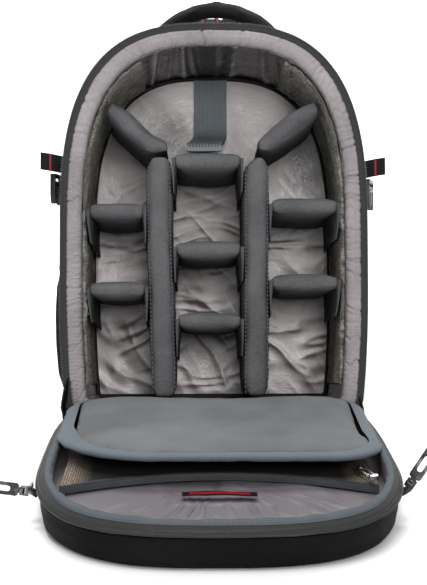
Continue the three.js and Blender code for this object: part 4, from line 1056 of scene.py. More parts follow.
        # Painted light: each fold is lighter or darker by its slope, as painted highlight and shade; two painted shade
        # patches lie high on the left and right, with painted sheen clouds in the upper part.
        painted_light = 0.46 - 1.9 * slope + 0.07 * broad
        painted_light -= 0.42 * np.exp(-(((x + 78) / 36) ** 2)) * np.clip((y - 290) / 50, 0, 1)
        painted_light -= 0.4 * np.exp(-(((x - 122) / 28) ** 2)) * np.clip((y - 230) / 40, 0, 1)
        painted_light += 0.42 * NOISE.on(x / 40, y / 75, 8.8) * np.clip((y - 230) / 60, 0, 1)
        hold = np.clip((1 - shares[:, None]) / 0.05, 0, 1)
        under_strap = np.exp(-((x / 26) ** 4)) * np.clip((y - 285) / 20, 0, 1)
        grid[..., 2] += np.clip(height, -0.2, 5.0) * hold * (1 - 0.9 * under_strap)
        under = grid[[-1, 60, 0]] * [1, 1, 0] + [0, 0, -self.floor - self.lining]
        mesh = Mesh(HINGE.body)
        both = np.concatenate([np.full((3, len(turns)), 0.5), np.clip(painted_light, 0, 1)])
        mesh.closed(np.concatenate([under, grid]), flip=True, painted_light=both)
        obj = dressed(mesh.object("back_lining"), LINING, ("body_lining",))
        width, length = 2 * (PLAN.width / 2 - self.inside), PLAN.height - 2 * self.inside + PLAN.flange
        piping = Mesh(HINGE.body)
        loop = rings(PLAN.turns(300), [(self.inside + 2.4, -self.floor + 2.6)])[0]
        piping.tube(loop, 2.4, 8, loop=True)
        dressed(piping.object("lining_piping"), DARK_PIPING, ("body_lining",))

    def zip(self) -> None:
        """Tape with its coil along the outer edge, open across the hinge."""
        Zip(HINGE.body, "body_zip", level=-2.0, droop=0.0, side=-1).build("zip_tape", ("body_zip",))

    def loop_cloth(self) -> None:
        """Loop tape on the side walls, ruffled and frayed where it is sewn over slack lining."""
        rng = np.random.default_rng(31)
        for name, start, end in (("left", 1.157, 1.7875), ("right", 0.2125, 0.843)):
            turns = PLAN.turns(340, start, end)
            inset, count = self.inside + self.seam, 44
            grid = rings(turns, finer([(inset + 1.4, -14.0), (inset + 1.4, -152.0)], count))
            rows = np.linspace(0, 1, count)[:, None]
            ragged = 4.5 * NOISE.rough(grid[:1] * [1, 1, 0] + [0, 0, 50], 11.0) + 2.0
            grid[..., 2] -= ragged * (1 - rows) ** 2
            ruffle = np.sin((grid[..., 2] + 9 * NOISE.rough(grid, 60.0)) / 17 * 2 * math.pi)
            wave = 1.2 * NOISE.rough(grid, 20.0) + 1.3 * ruffle + 1.0
            face = pushed(grid, np.clip(wave, -0.9, 3.6), False)
            under = rings(turns, finer([(inset, -152.0), (inset, -14.0)], 4))
            under[..., 2] -= ragged * np.linspace(0, 1, 4)[:, None] ** 2
            mesh = Mesh(HINGE.body)
            mesh.closed(np.concatenate([face, under]).transpose(1, 0, 2), flip=False)
            dressed(mesh.object(f"loop_tape_{name}"), LOOP, (f"loop_cloth_{name}",))
            frays = Mesh(HINGE.body)
            for k in rng.integers(4, 336, 110):
                root = face[0, k]
                tip = rng.normal(0, [1.6, 2.2, 1.0]) + [0, 0, 1.4]
                tip[0] = -math.copysign(abs(tip[0]), root[0])
                bend = root + tip * 0.5 + rng.normal(0, 0.7, 3)
                frays.tube(np.array([root, bend, root + tip]), 0.2, 4)
            dressed(frays.object(f"loop_frays_{name}"), FRAY, (f"loop_cloth_{name}",))

    def build(self) -> None:
        """Makes all of the body's own pieces."""
        self.shell()
        self.rim()
        self.wall_lining()
        self.back_lining()
        self.zip()
        self.loop_cloth()


@dataclass
class Zip:
    """Half of a coil zip along the outline."""

    place: Place
    name: str
    level: float
    droop: float
    side: int
    rows: tuple[tuple[float, float], ...] = ((0.93, 0.0),)
    fall: float = 0.0
    pitch: float = 2.1
    coil: float = 3.0
    tape: float = 1.1

    def build(self, slot: str, nodes: tuple[str, ...]) -> None:
        """Makes the tape and the coil's teeth.

        Args:
            slot: The record's material slot; not used.
            nodes: Solids that they stand for.
        """
        turns = PLAN.turns(520, ZIP_START, 2 - ZIP_START)
        wave = 0.35 * NOISE.at(np.c_[np.r_[0, turns, 2] * 26, np.zeros((522, 2))])
        fall = [(10.0, 0.0), (PLAN.flange, 0.0), (5.2, self.droop * 0.35), (2.6, self.droop * 0.75), (1.4, self.droop)]
        upper = rings(turns, finer([(a, self.level + b) for a, b in fall], 9))
        ends = [upper[:, [k]] * [1, 0, 1] + [0, 1.2, 0] for k in (0, -1)]
        upper = np.concatenate([ends[0], upper, ends[1]], axis=1)
        upper[..., 2] += self.fall * Lid.front(upper[..., 1]) * np.linspace(0.4, 1, 9)[:, None]
        upper[..., 2] += wave * np.linspace(0, 1, 9)[:, None]
        shift = np.array([0, 0, self.side * self.tape])
        mesh = Mesh(self.place)
        mesh.closed(np.concatenate([upper, upper[::-1] + shift]).transpose(1, 0, 2), flip=self.side > 0)
        dressed(mesh.object(f"{self.name}_tape"), ZIP_TAPE, nodes)
        edge, inner = upper[-1], upper[4]
        run = np.r_[0, np.cumsum(np.linalg.norm(np.diff(edge, axis=0), axis=1))]
        along = unit(np.gradient(edge, run, axis=0))
        lean = edge - inner
        lean = unit(lean - along * np.sum(lean * along, axis=1, keepdims=True))
        out = np.cross(along, lean)
        at = np.arange(self.pitch / 2, run[-1], self.pitch)
        teeth = Mesh(self.place)
        for share, tilt in self.rows:
            spots, ahead, back, up = (
                np.stack([np.interp(at, run, values[:, k]) for k in range(3)], -1)
                for values in (edge * share + inner * (1 - share), along, lean, out)
            )
            length = back * math.cos(tilt) + ahead * math.sin(tilt)
            width = ahead * math.cos(tilt) - back * math.sin(tilt)
            teeth.stamp(spots, np.stack([length, width, up], axis=1), (self.coil, self.pitch * 0.46, 1.7))
        dressed(teeth.object(f"{self.name}_coil"), ZIP_COIL, nodes)


@dataclass
class Dividers:
    """Padded boards and shelves with their folded hook tabs and stitches, and the strap on the top one."""

    front: float = 14.0
    back: float = 169.9
    thick: float = 17.0
    upright: float = 24.0
    head: float = 266.0
    waist: float = 197.2
    floor: float = 17.1
    inner_half: float = 136.2
    tab_length: float = 28.0
    stuffing: Stuffing = Stuffing(voxel=4.6, pressure=4.0, most=3.0, shrink=1.4, rumple=0.5)

    def centre(self, side: int, y: float) -> float:
        """Middle of an upright at a height."""
        foot, waist, head = (-0.379, -0.419, -0.415) if side < 0 else (0.323, 0.331, 0.327)
        heights = [self.floor, self.waist, self.head]
        return self.inner_half * float(np.interp(y, heights, [foot, waist, head]))

    def wall(self, side: int, y: float) -> float:
        """Face of the loop cloth at a height."""
        return side * float(PLAN.half(y, 26.9))

    def board(self, name: str, outline: np.ndarray, ends: np.ndarray) -> bpy.types.Object:
        """A padded board with an outline across the bag and the cells' depth, rolled at its front.

        Args:
            name: Its name.
            outline: Corners as rows of x and y.
            ends: Both ends of its middle line.

        Returns:
            The object, ready to be stuffed.
        """
        run = ends[1] - ends[0]
        share = np.clip((outline - ends[0]) @ run / (run @ run), 0, 1)[:, None]
        middle = ends[0] + share * run
        rows = []
        for depth, keep in [(self.back, 0.82), (self.back - 5, 1), (self.front + 10, 1), (self.front + 5, 0.95),
                            (self.front + 1.8, 0.8), (self.front, 0.5)]:  # fmt: skip
            rows.append(np.c_[middle + (outline - middle) * keep, np.full(len(outline), -depth)])
        mesh = Mesh(HINGE.body)
        mesh.closed(np.array(rows), flip=True)
        obj = mesh.object(name)
        Body.weld(obj)
        self.stuffing.prepare(obj)
        return obj

    def uprights(self) -> list[tuple[bpy.types.Object, str]]:
        """The two full-height boards."""
        made = []
        for name, side in (("left", -1), ("right", 1)):
            half = self.upright / 2
            heights = [self.floor, 60.0, 100.0, 150.0, self.waist, 230.0, self.head - 5, self.head]
            drop = [1.0, 0, 0, 0, 0, 0, 0.5, 4.0]
            outer = [(self.centre(side, y) + side * (half - d), y) for y, d in zip(heights, drop)]
            inner = [(self.centre(side, y) - side * (half - d), y) for y, d in zip(heights, drop)]
            if side > 0:
                inner[-1] = (self.centre(side, self.head), self.head)
                inner[-2] = (self.centre(side, self.head) - half, self.head - half)
            ends = np.array([(self.centre(side, y), y) for y in (self.floor + 5, self.head - 6)])
            obj = self.board(f"upright_{name}", np.array([*outer, *inner[::-1]]), ends)
            made.append((obj, f"upright_divider_{name}"))
        return made

    def corners(self) -> list[tuple[bpy.types.Object, str]]:
        """The two slanted boards at the shoulders."""
        made = []
        for name, side in (("left", -1), ("right", 1)):
            head, seat, half = self.centre(side, self.head), self.head + 0.6, self.upright / 2
            inner = head - side * (half if side < 0 else 0)
            top, low = ((side * float(PLAN.half(y, 28.2)), y) for y in (323.0, 309.0))
            outline = [
                top,
                (head * 0.45 + top[0] * 0.55, seat * 0.3 + top[1] * 0.7 + 0.5),
                (head * 0.8 + top[0] * 0.2, seat * 0.5 + top[1] * 0.5 - 7),
                (inner, seat + 10),
                (inner, seat + 1),
                (head + side * half * 0.9, seat),
                (head * 0.45 + low[0] * 0.55, seat * 0.5 + low[1] * 0.5 - 3),
                low,
            ]
            ends = np.array([(top[0] - side * 4, 314.0), (inner + side * 5, seat + 6)])
            made.append((self.board(f"corner_{name}", np.array(outline), ends), f"corner_divider_{name}"))
        return made

    def shelves(self) -> list[tuple[bpy.types.Object, str]]:
        """The seven shelves, each between two uprights or an upright and a wall."""
        rows = [
            ("centre_divider_top", 266.0),
            ("centre_divider_middle", 173.0),
            ("centre_divider_bottom", 98.0),
            ("left_divider_upper", 213.0),
            ("left_divider_lower", 131.0),
            ("right_divider_upper", 218.0),
            ("right_divider_lower", 138.0),
        ]
        made = []
        for name, top in rows:
            low, high = box_of(name)
            x0, x1 = low[0] - HINGE.body.origin[0] + 0.4, high[0] - HINGE.body.origin[0] - 0.4
            y0 = top - self.thick
            middle = (x0 + x1) / 2
            outline = np.array([
                (x0 + 3, y0 + 1), (x0 + 8, y0), (middle, y0 - 0.6), (x1 - 8, y0), (x1 - 3, y0 + 1),
                (x1 - 0.8, top - 9), (x1 - 1, top - 3), (x1 - 3, top), (middle, top + 0.6), (x0 + 3, top),
                (x0 + 1, top - 3), (x0 + 0.8, top - 9),
            ])  # fmt: skip
            ends = np.array([(x0 + 3.5, top - self.thick / 2), (x1 - 3.5, top - self.thick / 2)])
            made.append((self.board(name.replace("divider", "shelf"), outline, ends), name))
            self.tabs(name, x0, x1, y0)
        return made

    def tabs(self, name: str, x0: float, x1: float, y0: float) -> None:
        """Hook tabs folded down at both ends of a shelf, thick at the fold and frayed at the tip."""
        mesh = Mesh(HINGE.body)
        for x, side in ((x0, 1), (x1, -1)):
            t, depth = np.meshgrid(np.linspace(0, 1, 16), np.linspace(0, 1, 40), indexing="ij")
            y = y0 + 11 - (self.tab_length + 9 + 2.5 * NOISE.on(depth * 9, x)) * t
            front = self.front + 1.5 + 7 * np.clip(t - 0.25, 0, 1) ** 1.5
            z = -(self.back - 3) + (self.back - 3 - front) * depth
            wave = 0.6 * NOISE.rough(np.stack([y + 3 * x, z, 0 * y + x], -1), 16.0)
            thick = 2.0 + 4.6 * (1 - t) ** 1.6 + wave
            thick *= np.clip(0.35 + 6 * (1 - depth), 0.35, 1) ** 0.5
            uneven = 0.8 + 0.5 * NOISE.on(z / 60, x)
            drift = (4.6 if abs(x) > 90 else 1.6) * t**1.6 * uneven
            inner = np.stack([x + side * (thick + drift), y, z], -1)
            outer = np.stack([x + side * (0.2 + drift), y, z], -1)[::-1]
            mesh.closed(np.concatenate([inner, outer]).transpose(1, 0, 2), flip=side < 0)
        dressed(mesh.object(f"{name}_tabs"), HOOK_TAB, (name,))

    def strap(self) -> None:
        """Ribbed strap down the back lining, then forward on the top shelf, where its hook end lies."""
        top = 266.0 + 0.3 + 1.0
        path = [
            (-167.4, 374.5), (-167.0, 350), (-166.0, 326), (-162, 311), (-150, 302), (-125, 294), (-95, 286),
            (-66, 278), (-44, top + 5.0), (-30, top + 3.5),
        ]  # fmt: skip
        line = smoothed(np.array(path), 90)
        across = np.linspace(-1, 1, 16)
        along = unit(np.gradient(line, axis=0))
        out = np.c_[-along[:, 1], along[:, 0]]
        for name, start, end, finish, half, thick in (
            ("strap_webbing", 0, 48, STRAP, 18.6, 0.8),
            ("strap_hook_end", 43, 90, STRAP_END, 18.9, 1.6),
        ):
            part, side = line[start:end], out[start:end]
            spots = np.stack(np.meshgrid(part[:, 1] / 20, across * 2), -1).transpose(1, 0, 2)
            curl = 0.5 * across[None, :] ** 4 + 0.25 * NOISE.at(spots @ np.eye(2, 3))
            shift = -8.0 * np.clip((line[start:end, 0] + 158) / 70, 0, 1)
            faces = []
            for lift in (thick, -thick):
                point = np.zeros((len(part), 16, 3))
                point[..., 0] = across * half + shift[:, None] - 1.0
                point[..., 1] = part[:, None, 1] + side[:, None, 1] * (lift + curl)
                point[..., 2] = part[:, None, 0] + side[:, None, 0] * (lift + curl)
                faces.append(point)
            mesh = Mesh(HINGE.body)
            mesh.closed(np.concatenate([faces[0], faces[1][:, ::-1]], axis=1), flip=True)
            dressed(mesh.object(name), finish, ("divider_strap",))

    def stitches(self) -> None:
        """Lines of stitching beside the front roll of both uprights."""
        mesh = Mesh(HINGE.body)
        for side in (-1, 1):
            y = np.arange(24.0, self.head - 12, 4.2)
            x = np.array([self.centre(side, v) for v in y])
            for edge in (-1, 1):
                spots = np.c_[x + edge * (self.upright / 2 - 0.6), y, np.full(len(y), -self.front - 7.0)]
                out = np.tile([edge * 0.8, 0.0, 0.6], (len(y), 1))
                mesh.stamp(spots, seam_frames(spots, out), (2.4, 0.7, 1.2))
        dressed(mesh.object("upright_stitches"), THREAD)

    def build(self) -> None:
        """Makes the stitches, stuffs every board, then makes the strap."""
        self.stitches()
        made = [*self.uprights(), *self.corners(), *self.shelves()]
        self.stuffing.fill([obj for obj, _ in made])
        for obj, node in made:
            dressed(obj, DIVIDER, (node,))
        self.strap()


def copied(node: str, name: str, edge: float, segments: int = 2) -> bpy.types.Object:
    """A rigid solid with its edges broken, as a moulded or cast piece has.

    Args:
        node: The solid.
        name: The new piece's name.
        edge: Width of the rounded edge.
        segments: Faces across it.

    Returns:
        The new object.
    """
    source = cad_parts[node]
    obj = bpy.data.objects.new(name, source.data.copy())
    obj.matrix_world = source.matrix_world
    bpy.context.scene.collection.objects.link(obj)
    Body.weld(obj)
    bevel = obj.modifiers.new("edge", "BEVEL")
    bevel.width, bevel.segments = edge * MM, segments
    bevel.limit_method, bevel.angle_limit = "ANGLE", math.radians(40)
    bevel.harden_normals = False
    Stuffing.apply(obj)
    obj.data.polygons.foreach_set("use_smooth", [True] * len(obj.data.polygons))
    obj.data.set_sharp_from_angle(angle=math.radians(38))
    return obj


def limp(node: str, name: str, slack: float) -> bpy.types.Object:
    """A strip of cloth or webbing along a solid, softened and a little uneven.

    Args:
        node: The solid.
        name: The new piece's name.
        slack: How far it wanders in millimetres.

    Returns:
        The new object.
    """
    obj = copied(node, name, 0.4, 1)
    split = obj.modifiers.new("split", "SUBSURF")
    split.subdivision_type, split.levels, split.render_levels = "SIMPLE", 2, 2
    Stuffing.apply(obj)
    points = Stuffing.read(obj.data)
    wave = NOISE.rough(points / MM, 20.0) * slack * MM
    Stuffing.write(obj.data, points + outward(obj.data) * np.minimum(wave, 0.2 * MM)[:, None])
    obj.data.polygons.foreach_set("use_smooth", [True] * len(obj.data.polygons))
    return obj


@dataclass
class Harness:
    """Handle, shoulder straps, back pads, tails and adjusters."""

    stuffing: Stuffing = Stuffing(voxel=6.0, pressure=3.0, most=4.0, shrink=1.5)
    foot: float = 118.0
    head: float = 464.5
    face: float = 227.8
    stand: float = 47.0
    spread: float = 92.1
    strap_half: float = 32.0
    # Height, depth, spread and width along a strap, as shares.
    line: tuple[tuple[float, float, float, float], ...] = (
        (0.7, 0, 0.24, 0.42), (0.9, 0.02, 0.24, 0.42), (0.985, 0.12, 0.25, 0.44), (0.995, 0.42, 0.28, 0.6),
        (0.93, 0.72, 0.4, 0.85), (0.78, 0.93, 0.58, 1), (0.55, 1, 0.78, 1), (0.3, 0.97, 0.92, 0.9),
        (0.12, 0.87, 1, 0.74), (0.02, 0.82, 1.03, 0.6),
    )  # fmt: skip

    def soft(self, node: str, name: str) -> bpy.types.Object:
        """A copy of a soft solid, ready to be stuffed."""
        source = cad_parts[node]
        obj = bpy.data.objects.new(name, source.data.copy())
        obj.matrix_world = source.matrix_world
        bpy.context.scene.collection.objects.link(obj)
        self.stuffing.prepare(obj)
        return obj

    def channels(self, obj: bpy.types.Object, pitch: float) -> None:
        """Presses sewn lines across a back pad.

        Args:
            obj: The stuffed pad.
            pitch: Distance between lines.
        """
        points, out = Stuffing.read(obj.data), outward(obj.data)
        local = (points / MM - np.array(HINGE.body.origin)) @ HINGE.body.axes().T
        phase = (local[:, 1] % pitch) / pitch - 0.5
        face = np.clip(-(out @ HINGE.body.axes().T)[:, 2], 0, 1)
        press = 3.2 * np.exp(-((phase / 0.09) ** 2)) * face
        Stuffing.write(obj.data, points - out * press[:, None] * MM)

    def yoke(self) -> None:
        """Padded patch that the tops of both shoulder straps are sewn to, seen under the handle."""
        turn = np.linspace(0, 2 * math.pi, 40, endpoint=False)
        loops = []
        for y, back, keep in [
            (384, 232.5, 0.5), (387, 232.5, 0.9), (396, 232.5, 1.0), (430, 233, 1.0), (450, 236, 1.0),
            (459, 241, 1.0), (462, 246, 0.8), (462.5, 250, 0.4),
        ]:  # fmt: skip
            x = 15 * keep * np.sign(np.cos(turn)) * np.abs(np.cos(turn)) ** 0.5
            z = -back - 5.0 * keep * np.sign(np.sin(turn)) * np.abs(np.sin(turn)) ** 0.7
            loops.append(np.c_[x, np.full(40, y), z])
        mesh = Mesh(HINGE.body)
        mesh.closed(np.array(loops))
        yoke = mesh.object("strap_yoke")
        Body.weld(yoke)
        dressed(yoke, PAD_CLOTH)

    def piping(self, name: str) -> None:
        """Red cord along both edges of a shoulder strap.

        Args:
            name: "left" or "right".
        """
        side = -1 if name == "left" else 1
        mesh = Mesh(HINGE.body)
        rows = np.array(self.line)
        for edge in (-1, 1):
            half = self.strap_half * rows[:, 3] + 0.2
            x = side * self.spread * rows[:, 2] + edge * half
            y = self.foot + (self.head - self.foot) * rows[:, 0]
            z = -(self.face + self.stand * rows[:, 1])
            mesh.tube(smoothed(np.c_[x, y, z], 90), 1.1, 8)
        dressed(mesh.object(f"shoulder_piping_{name}"), PIPING, (f"shoulder_strap_{name}",))

    def build(self) -> None:
        """Stuffs the pads, then adds the hard pieces, tails and red piping."""
        soft = {
            "grab_handle": ("handle_pad", PAD_CLOTH, "webbing"),
            "back_pad_left": ("back_cushion_left", SPACER, "back_pad"),
            "back_pad_right": ("back_cushion_right", SPACER, "back_pad"),
            "back_pad_lumbar": ("back_cushion_lumbar", SPACER, "back_pad"),
            "shoulder_strap_left": ("shoulder_pad_left", PAD_CLOTH, "back_pad"),
            "shoulder_strap_right": ("shoulder_pad_right", PAD_CLOTH, "back_pad"),
        }
        made = {node: self.soft(node, row[0]) for node, row in soft.items()}
        self.stuffing.fill(list(made.values()))
        for node, (_, finish, slot) in soft.items():
            obj = made[node]
            if finish is SPACER:
                self.channels(obj, 40.0)
            elif slot == "back_pad":
                self.piping(node[15:])
            dressed(obj, finish, (node,))
        self.yoke()
        for side in ("left", "right"):
            lock = copied(f"strap_adjuster_{side}", f"adjuster_{side}", 0.7)
            dressed(lock, ACETAL, (f"strap_adjuster_{side}",))
            tail = limp(f"strap_tail_{side}", f"tail_webbing_{side}", 0.5)
            dressed(tail, WEBBING, (f"strap_tail_{side}",))


@dataclass
class SideStraps:
    """Compression webbing and half a buckle on each side, and the pocket on the left."""

    half: float = 9.3
    thick: float = 1.5
    reach: float = 34.0

    def webbing(self, name: str, side: int, foot: float) -> None:
        """Webbing along the wall that turns out and ends free, with a red bar-tack near its end."""
        wall = float(PLAN.half(foot, PLAN.flange)) + 1.4
        path = np.array([
            (0, -150), (0.4, -118), (0.4, -92), (2.0, -76), (9, -67), (20, -60), (self.reach - 1, -58),
        ], float)  # fmt: skip
        line = smoothed(path, 60)
        along = unit(np.gradient(line, axis=0))
        out = np.c_[-along[:, 1], along[:, 0]]
        across = np.linspace(-1, 1, 9)
        for piece, start, end, extra, finish, slot in (
            ("side_strap", 0, 60, 0.0, WEBBING, "webbing"),
            ("bartack", 53, 55, 0.25, RED, "webbing"),
        ):
            faces = []
            for lift in (self.thick / 2 + extra, -self.thick / 2 - extra):
                point = np.zeros((end - start, 9, 3))
                point[..., 0] = side * (wall + line[start:end, None, 0] + out[start:end, None, 0] * lift)
                rise = 5.0 * np.clip(line[start:end, None, 0] / self.reach, 0, 1)
                point[..., 1] = foot + 9.5 + rise + across * (self.half + extra)
                point[..., 2] = line[start:end, None, 1] + out[start:end, None, 1] * lift
                faces.append(point)
            mesh = Mesh(HINGE.body)
            mesh.closed(np.concatenate([faces[0], faces[1][:, ::-1]], axis=1), flip=side < 0)
            dressed(mesh.object(f"{piece}_{name}"), finish, (f"side_webbing_{name}",))

    def pocket(self) -> None:
        """Side pocket with a gathered, elastic top edge."""
        rows, cols = 40, 60
        t = np.linspace(0, 1, rows)[:, None]
        around = np.linspace(0, 1, cols)[None, :]
        y = 22 + 132 * t + 0 * around
        profile = np.interp(t, [0, 0.04, 0.14, 0.3, 0.55, 0.8, 0.93, 1], [0.25, 0.72, 0.95, 1, 1, 0.86, 0.62, 0.5])
        lobe = np.clip(np.sin(np.pi * np.clip(around, 0.001, 0.999)) * 2.4, 0, 1) ** 0.7
        gather = 1.0 * np.sin(around * 2 * np.pi * 15) * np.clip((t - 0.7) / 0.3, 0, 1) * lobe
        depth = 15.0 * profile * lobe + gather
        z = -30 - 134 * around - 0 * t
        wall = -(PLAN.half(y, PLAN.flange) + 0.4)
        grid = np.stack([wall - np.maximum(depth, 0.4), y, z], -1)
        grid[..., 0] -= 0.8 * NOISE.rough(grid, 30.0) * lobe
        inner = np.stack([wall + 0 * depth, y, z], -1)
        mesh = Mesh(HINGE.body)
        mesh.closed(np.concatenate([grid, inner[:, ::-1]], axis=1), flip=False)
        dressed(mesh.object("side_pocket_cloth"), SHELL, ("side_pocket",))
        hem = np.stack([grid[-3, :, 0] - 0.6, grid[-3, :, 1] + 1, grid[-3, :, 2]], -1)
        edge = Mesh(HINGE.body)
        edge.tube(hem[2:-2], 1.8, 8)
        dressed(edge.object("side_pocket_hem"), WEBBING, ("side_pocket",))

    def build(self) -> None:
        """Makes both straps, both buckles and the pocket."""
        for name, side, foot in (("left", -1, 249.0), ("right", 1, 243.0)):
            self.webbing(name, side, foot)
            buckle = copied(f"side_buckle_{name}", f"buckle_{name}", 0.8)
            dressed(buckle, ACETAL, (f"side_buckle_{name}",))
        self.pocket()


@dataclass
class Lid:
    """The front panel on the floor: tray, lining, binding, zip, label and hinge."""

    depth: float = 40.0
    face: float = 21.2
    wall: float = 5.0
    bulge: float = 3.0
    round: float = 10.0
    columns: int = 440

    @property
    def inside(self) -> float:
        """Zip's edge to the lining's face."""
        return PLAN.flange + self.wall + 0.3 + 1.5

    @staticmethod
    def front(y: np.ndarray) -> np.ndarray:
        """How far a place belongs to the slumped front lip, from 0 to 1."""
        t = np.clip((y - 285) / 75, 0, 1)
        return t * t * (3 - 2 * t)

    def shell(self) -> None:
        """Tray with a swelling wall, a sewn band under the zip and a flat underside."""
        swell = PLAN.flange - self.bulge
        turns = PLAN.turns(self.columns)
        section = [
            (PLAN.flange, 2.6), (swell + 1.2, 6.5), (swell + 0.2, 10.0), (swell, 12.5), (swell - 0.6, 18),
            (swell - 0.8, 24), (swell, self.depth - 12), (swell + 0.7, self.depth - 6.5),
            (swell + 3.2, self.depth - 2.4), (swell + 7, self.depth - 0.5), (swell + 11, self.depth),
        ]  # fmt: skip
        grid = rings(turns, finer(section, 46))
        level = grid[..., 2]
        hold = np.clip((level - 5) / 6, 0, 1) * np.clip((self.depth - 1 - level) / 5, 0, 1)
        sag = 1.1 * NOISE.rough(grid * [1, 1, 0.6], 60.0) * hold
        seam = -1.1 * np.exp(-(((level - 13.0) / 0.9) ** 2)) + 0.7 * np.exp(-(((level - 15.2) / 1.4) ** 2))
        grid = pushed(grid, sag + seam * hold, True)
        grid[..., 2] = np.minimum(grid[..., 2], self.depth)
        centre = np.array([0, 190, self.depth])
        under = np.array([centre + (grid[-1] - centre) * [s, s, 1] for s in np.linspace(1, 0.04, 20)[1:]])
        inset = PLAN.flange + self.wall
        inner = rings(turns, [(inset, self.face + 1.8), (inset, 2.6)])
        mesh = Mesh(HINGE.lid)
        mesh.closed(np.concatenate([inner, grid, under]), flip=False)
        obj = dressed(mesh.object("lid_shell_cloth"), SHELL, ("lid_shell",))

    def lining(self) -> None:
        """Lining on the lid's wall and floor, puckered where it is sewn in."""
        turns = PLAN.turns(400)
        wall = rings(turns, finer([(self.inside, 2.6), (self.inside, self.face - 3), (self.inside + 3, self.face)], 14))
        centre = np.array([0, 195, self.face])
        shares = np.linspace(1, 0.01, 86)[1:]
        floor = np.array([centre + (wall[-1] - centre) * [s, s, 1] for s in shares])
        grid = np.concatenate([wall, floor])
        x, y = grid[..., 0], grid[..., 1]
        hold = np.r_[np.linspace(0, 0.6, 14), np.clip(0.6 + (1 - shares) * 5, 0, 1)][:, None]
        broad = NOISE.rough(np.stack([(x * 0.9 - y * 0.3) / 30, (y + x * 0.3) / 70, 0 * x + 2.2], -1), 1.0, 2)
        fan = np.arctan2(x, y - 170) * 200 + 5 * NOISE.on(x / 30, y / 20)
        radial = creases(fan, [
            (-140, 7, 3.0), (-104, 5, 2.6), (-58, 5, 3.4), (-40, 4, 3.0), (-24, 5, 3.8), (14, 6, 2.4),
            (44, 5, 3.6), (76, 6, 2.6), (118, 7, 3.0), (150, 5, 2.4),
        ])  # fmt: skip
        ahead = np.clip((y - 235) / 50, 0, 1)
        sewn = 1 - 0.85 * np.exp(-(((y - 261) / 18) ** 4) - (x / 46) ** 6)
        pucker = np.sin(fan / 6.5 + 3 * NOISE.on(fan / 25))
        pucker *= np.clip((y - 330) / 40, 0, 1)
        height = (1.6 + 2.0 * broad + 1.4 * radial * ahead + pucker) * hold * sewn
        grid = pushed(grid, np.clip(height, -0.1, 6.0), True)
        back = rings(turns, [(self.inside - 1.5, self.face + 1.5), (self.inside - 1.5, 2.6)])
        mesh = Mesh(HINGE.lid)
        mesh.closed(np.concatenate([back, grid]), flip=False)
        obj = dressed(mesh.object("lid_lining_cloth"), LID_LINING, ("lid_lining",))

    def binding(self) -> None:
        """Ribbon binding inside the rim, a little puckered, rolled over the lip at the front."""
        turns = PLAN.turns(self.columns)
        outer = PLAN.flange + 0.3
        section = [
            (outer, 2.2), (outer, 0.4), (outer + 0.6, -0.6), (outer + 2, -1.1), (outer + 4.0, -1.0),
            (outer + 5.6, -0.1), (outer + 6.2, 1.4), (outer + 6.6, 4.2),
        ]  # fmt: skip
        lip = [
            (outer - 1, 5.4), (outer - 2.6, 3.6), (outer - 2.0, 2.2), (outer - 0.4, 0.9), (outer + 1.6, 0.3),
            (outer + 4.6, 0.6), (outer + 6.5, 2.0), (outer + 7.0, 6.0),
        ]  # fmt: skip
        grid = rings(turns, finer(section, 16))
        share = self.front(grid[..., 1])[..., None]
        grid = grid * (1 - share) + rings(turns, finer(lip, 16)) * share
        run = np.linspace(0, 1200, self.columns)[None, :].repeat(16, axis=0)
        pucker = 0.35 * np.sin(run / 4.3 + 2 * NOISE.on(run / 30))
        rows = np.sin(np.linspace(0, np.pi, 16))[:, None]
        grid = pushed(grid, (pucker + 0.5 * NOISE.rough(grid, 24.0)) * rows, True)
        mesh = Mesh(HINGE.lid)
        mesh.grid(grid, wrap=True, ring=True, flip=False)
        dressed(mesh.object("lid_ribbon"), BINDING, ("lid_binding",))

    def label(self) -> None:
        """Blank woven label, sewn down at its ends and a little slack between."""
        for name, half, width, lift, finish in (
            ("label_ground", 32.0, 6.4, 0.0, LABEL),
            ("label_centre", 26.0, 2.6, 0.3, LABEL_RED),
        ):
            x, y = np.meshgrid(np.linspace(-half, half, 60), np.linspace(-width, width, 9))
            slack = 5.0 + 0.5 * NOISE.on(x / 11, y / 9) + 0.4 * np.cos(x / 32 * math.pi)
            top = np.stack([x, 261 + y + 0.03 * x, self.face - slack - lift], -1)
            mesh = Mesh(HINGE.lid)
            mesh.closed(np.concatenate([top, top[::-1] + [0, 0, 0.3]]).transpose(1, 0, 2), flip=True)
            dressed(mesh.object(name), finish, ("woven_label",))

    def hinge(self) -> None:
        """Cloth hinge with a gusset at each end."""
        strip = limp("lid_hinge", "hinge_cloth", 0.5)
        dressed(strip, SHELL, ("lid_hinge",))
        for name, side, reach, puff in (("left", -1, 40.0, 6.0), ("right", 1, 24.0, 2.5)):
            rows = []
            for t in np.linspace(0, 1, 16):
                body_end = HINGE.body.world(np.array([side * 148.5, reach * t, -4.5])) / MM
                lid_end = HINGE.lid.world(np.array([side * (148.5 + 1.5 * t), reach * t, 5.0])) / MM
                s = np.linspace(0, 1, 16)[:, None]
                line = body_end * (1 - s) + lid_end * s
                bulge = np.sin(math.pi * s[:, 0]) * np.clip(3 * t, 0, 1)
                line += bulge[:, None] * [side * puff, 3.0, -3.0]
                rows.append(line + 0.7 * NOISE.rough(line, 12.0)[:, None] * [t, 0, 0])
            grid = (np.array(rows) - np.array(HINGE.lid.origin)) @ HINGE.lid.axes().T
            mesh = Mesh(HINGE.lid)
            thick = np.concatenate([grid, grid[::-1] - [side * 1.6, 0, 0]])
            mesh.closed(thick.transpose(1, 0, 2), flip=side > 0)
            dressed(mesh.object(f"hinge_gusset_{name}"), SHELL)

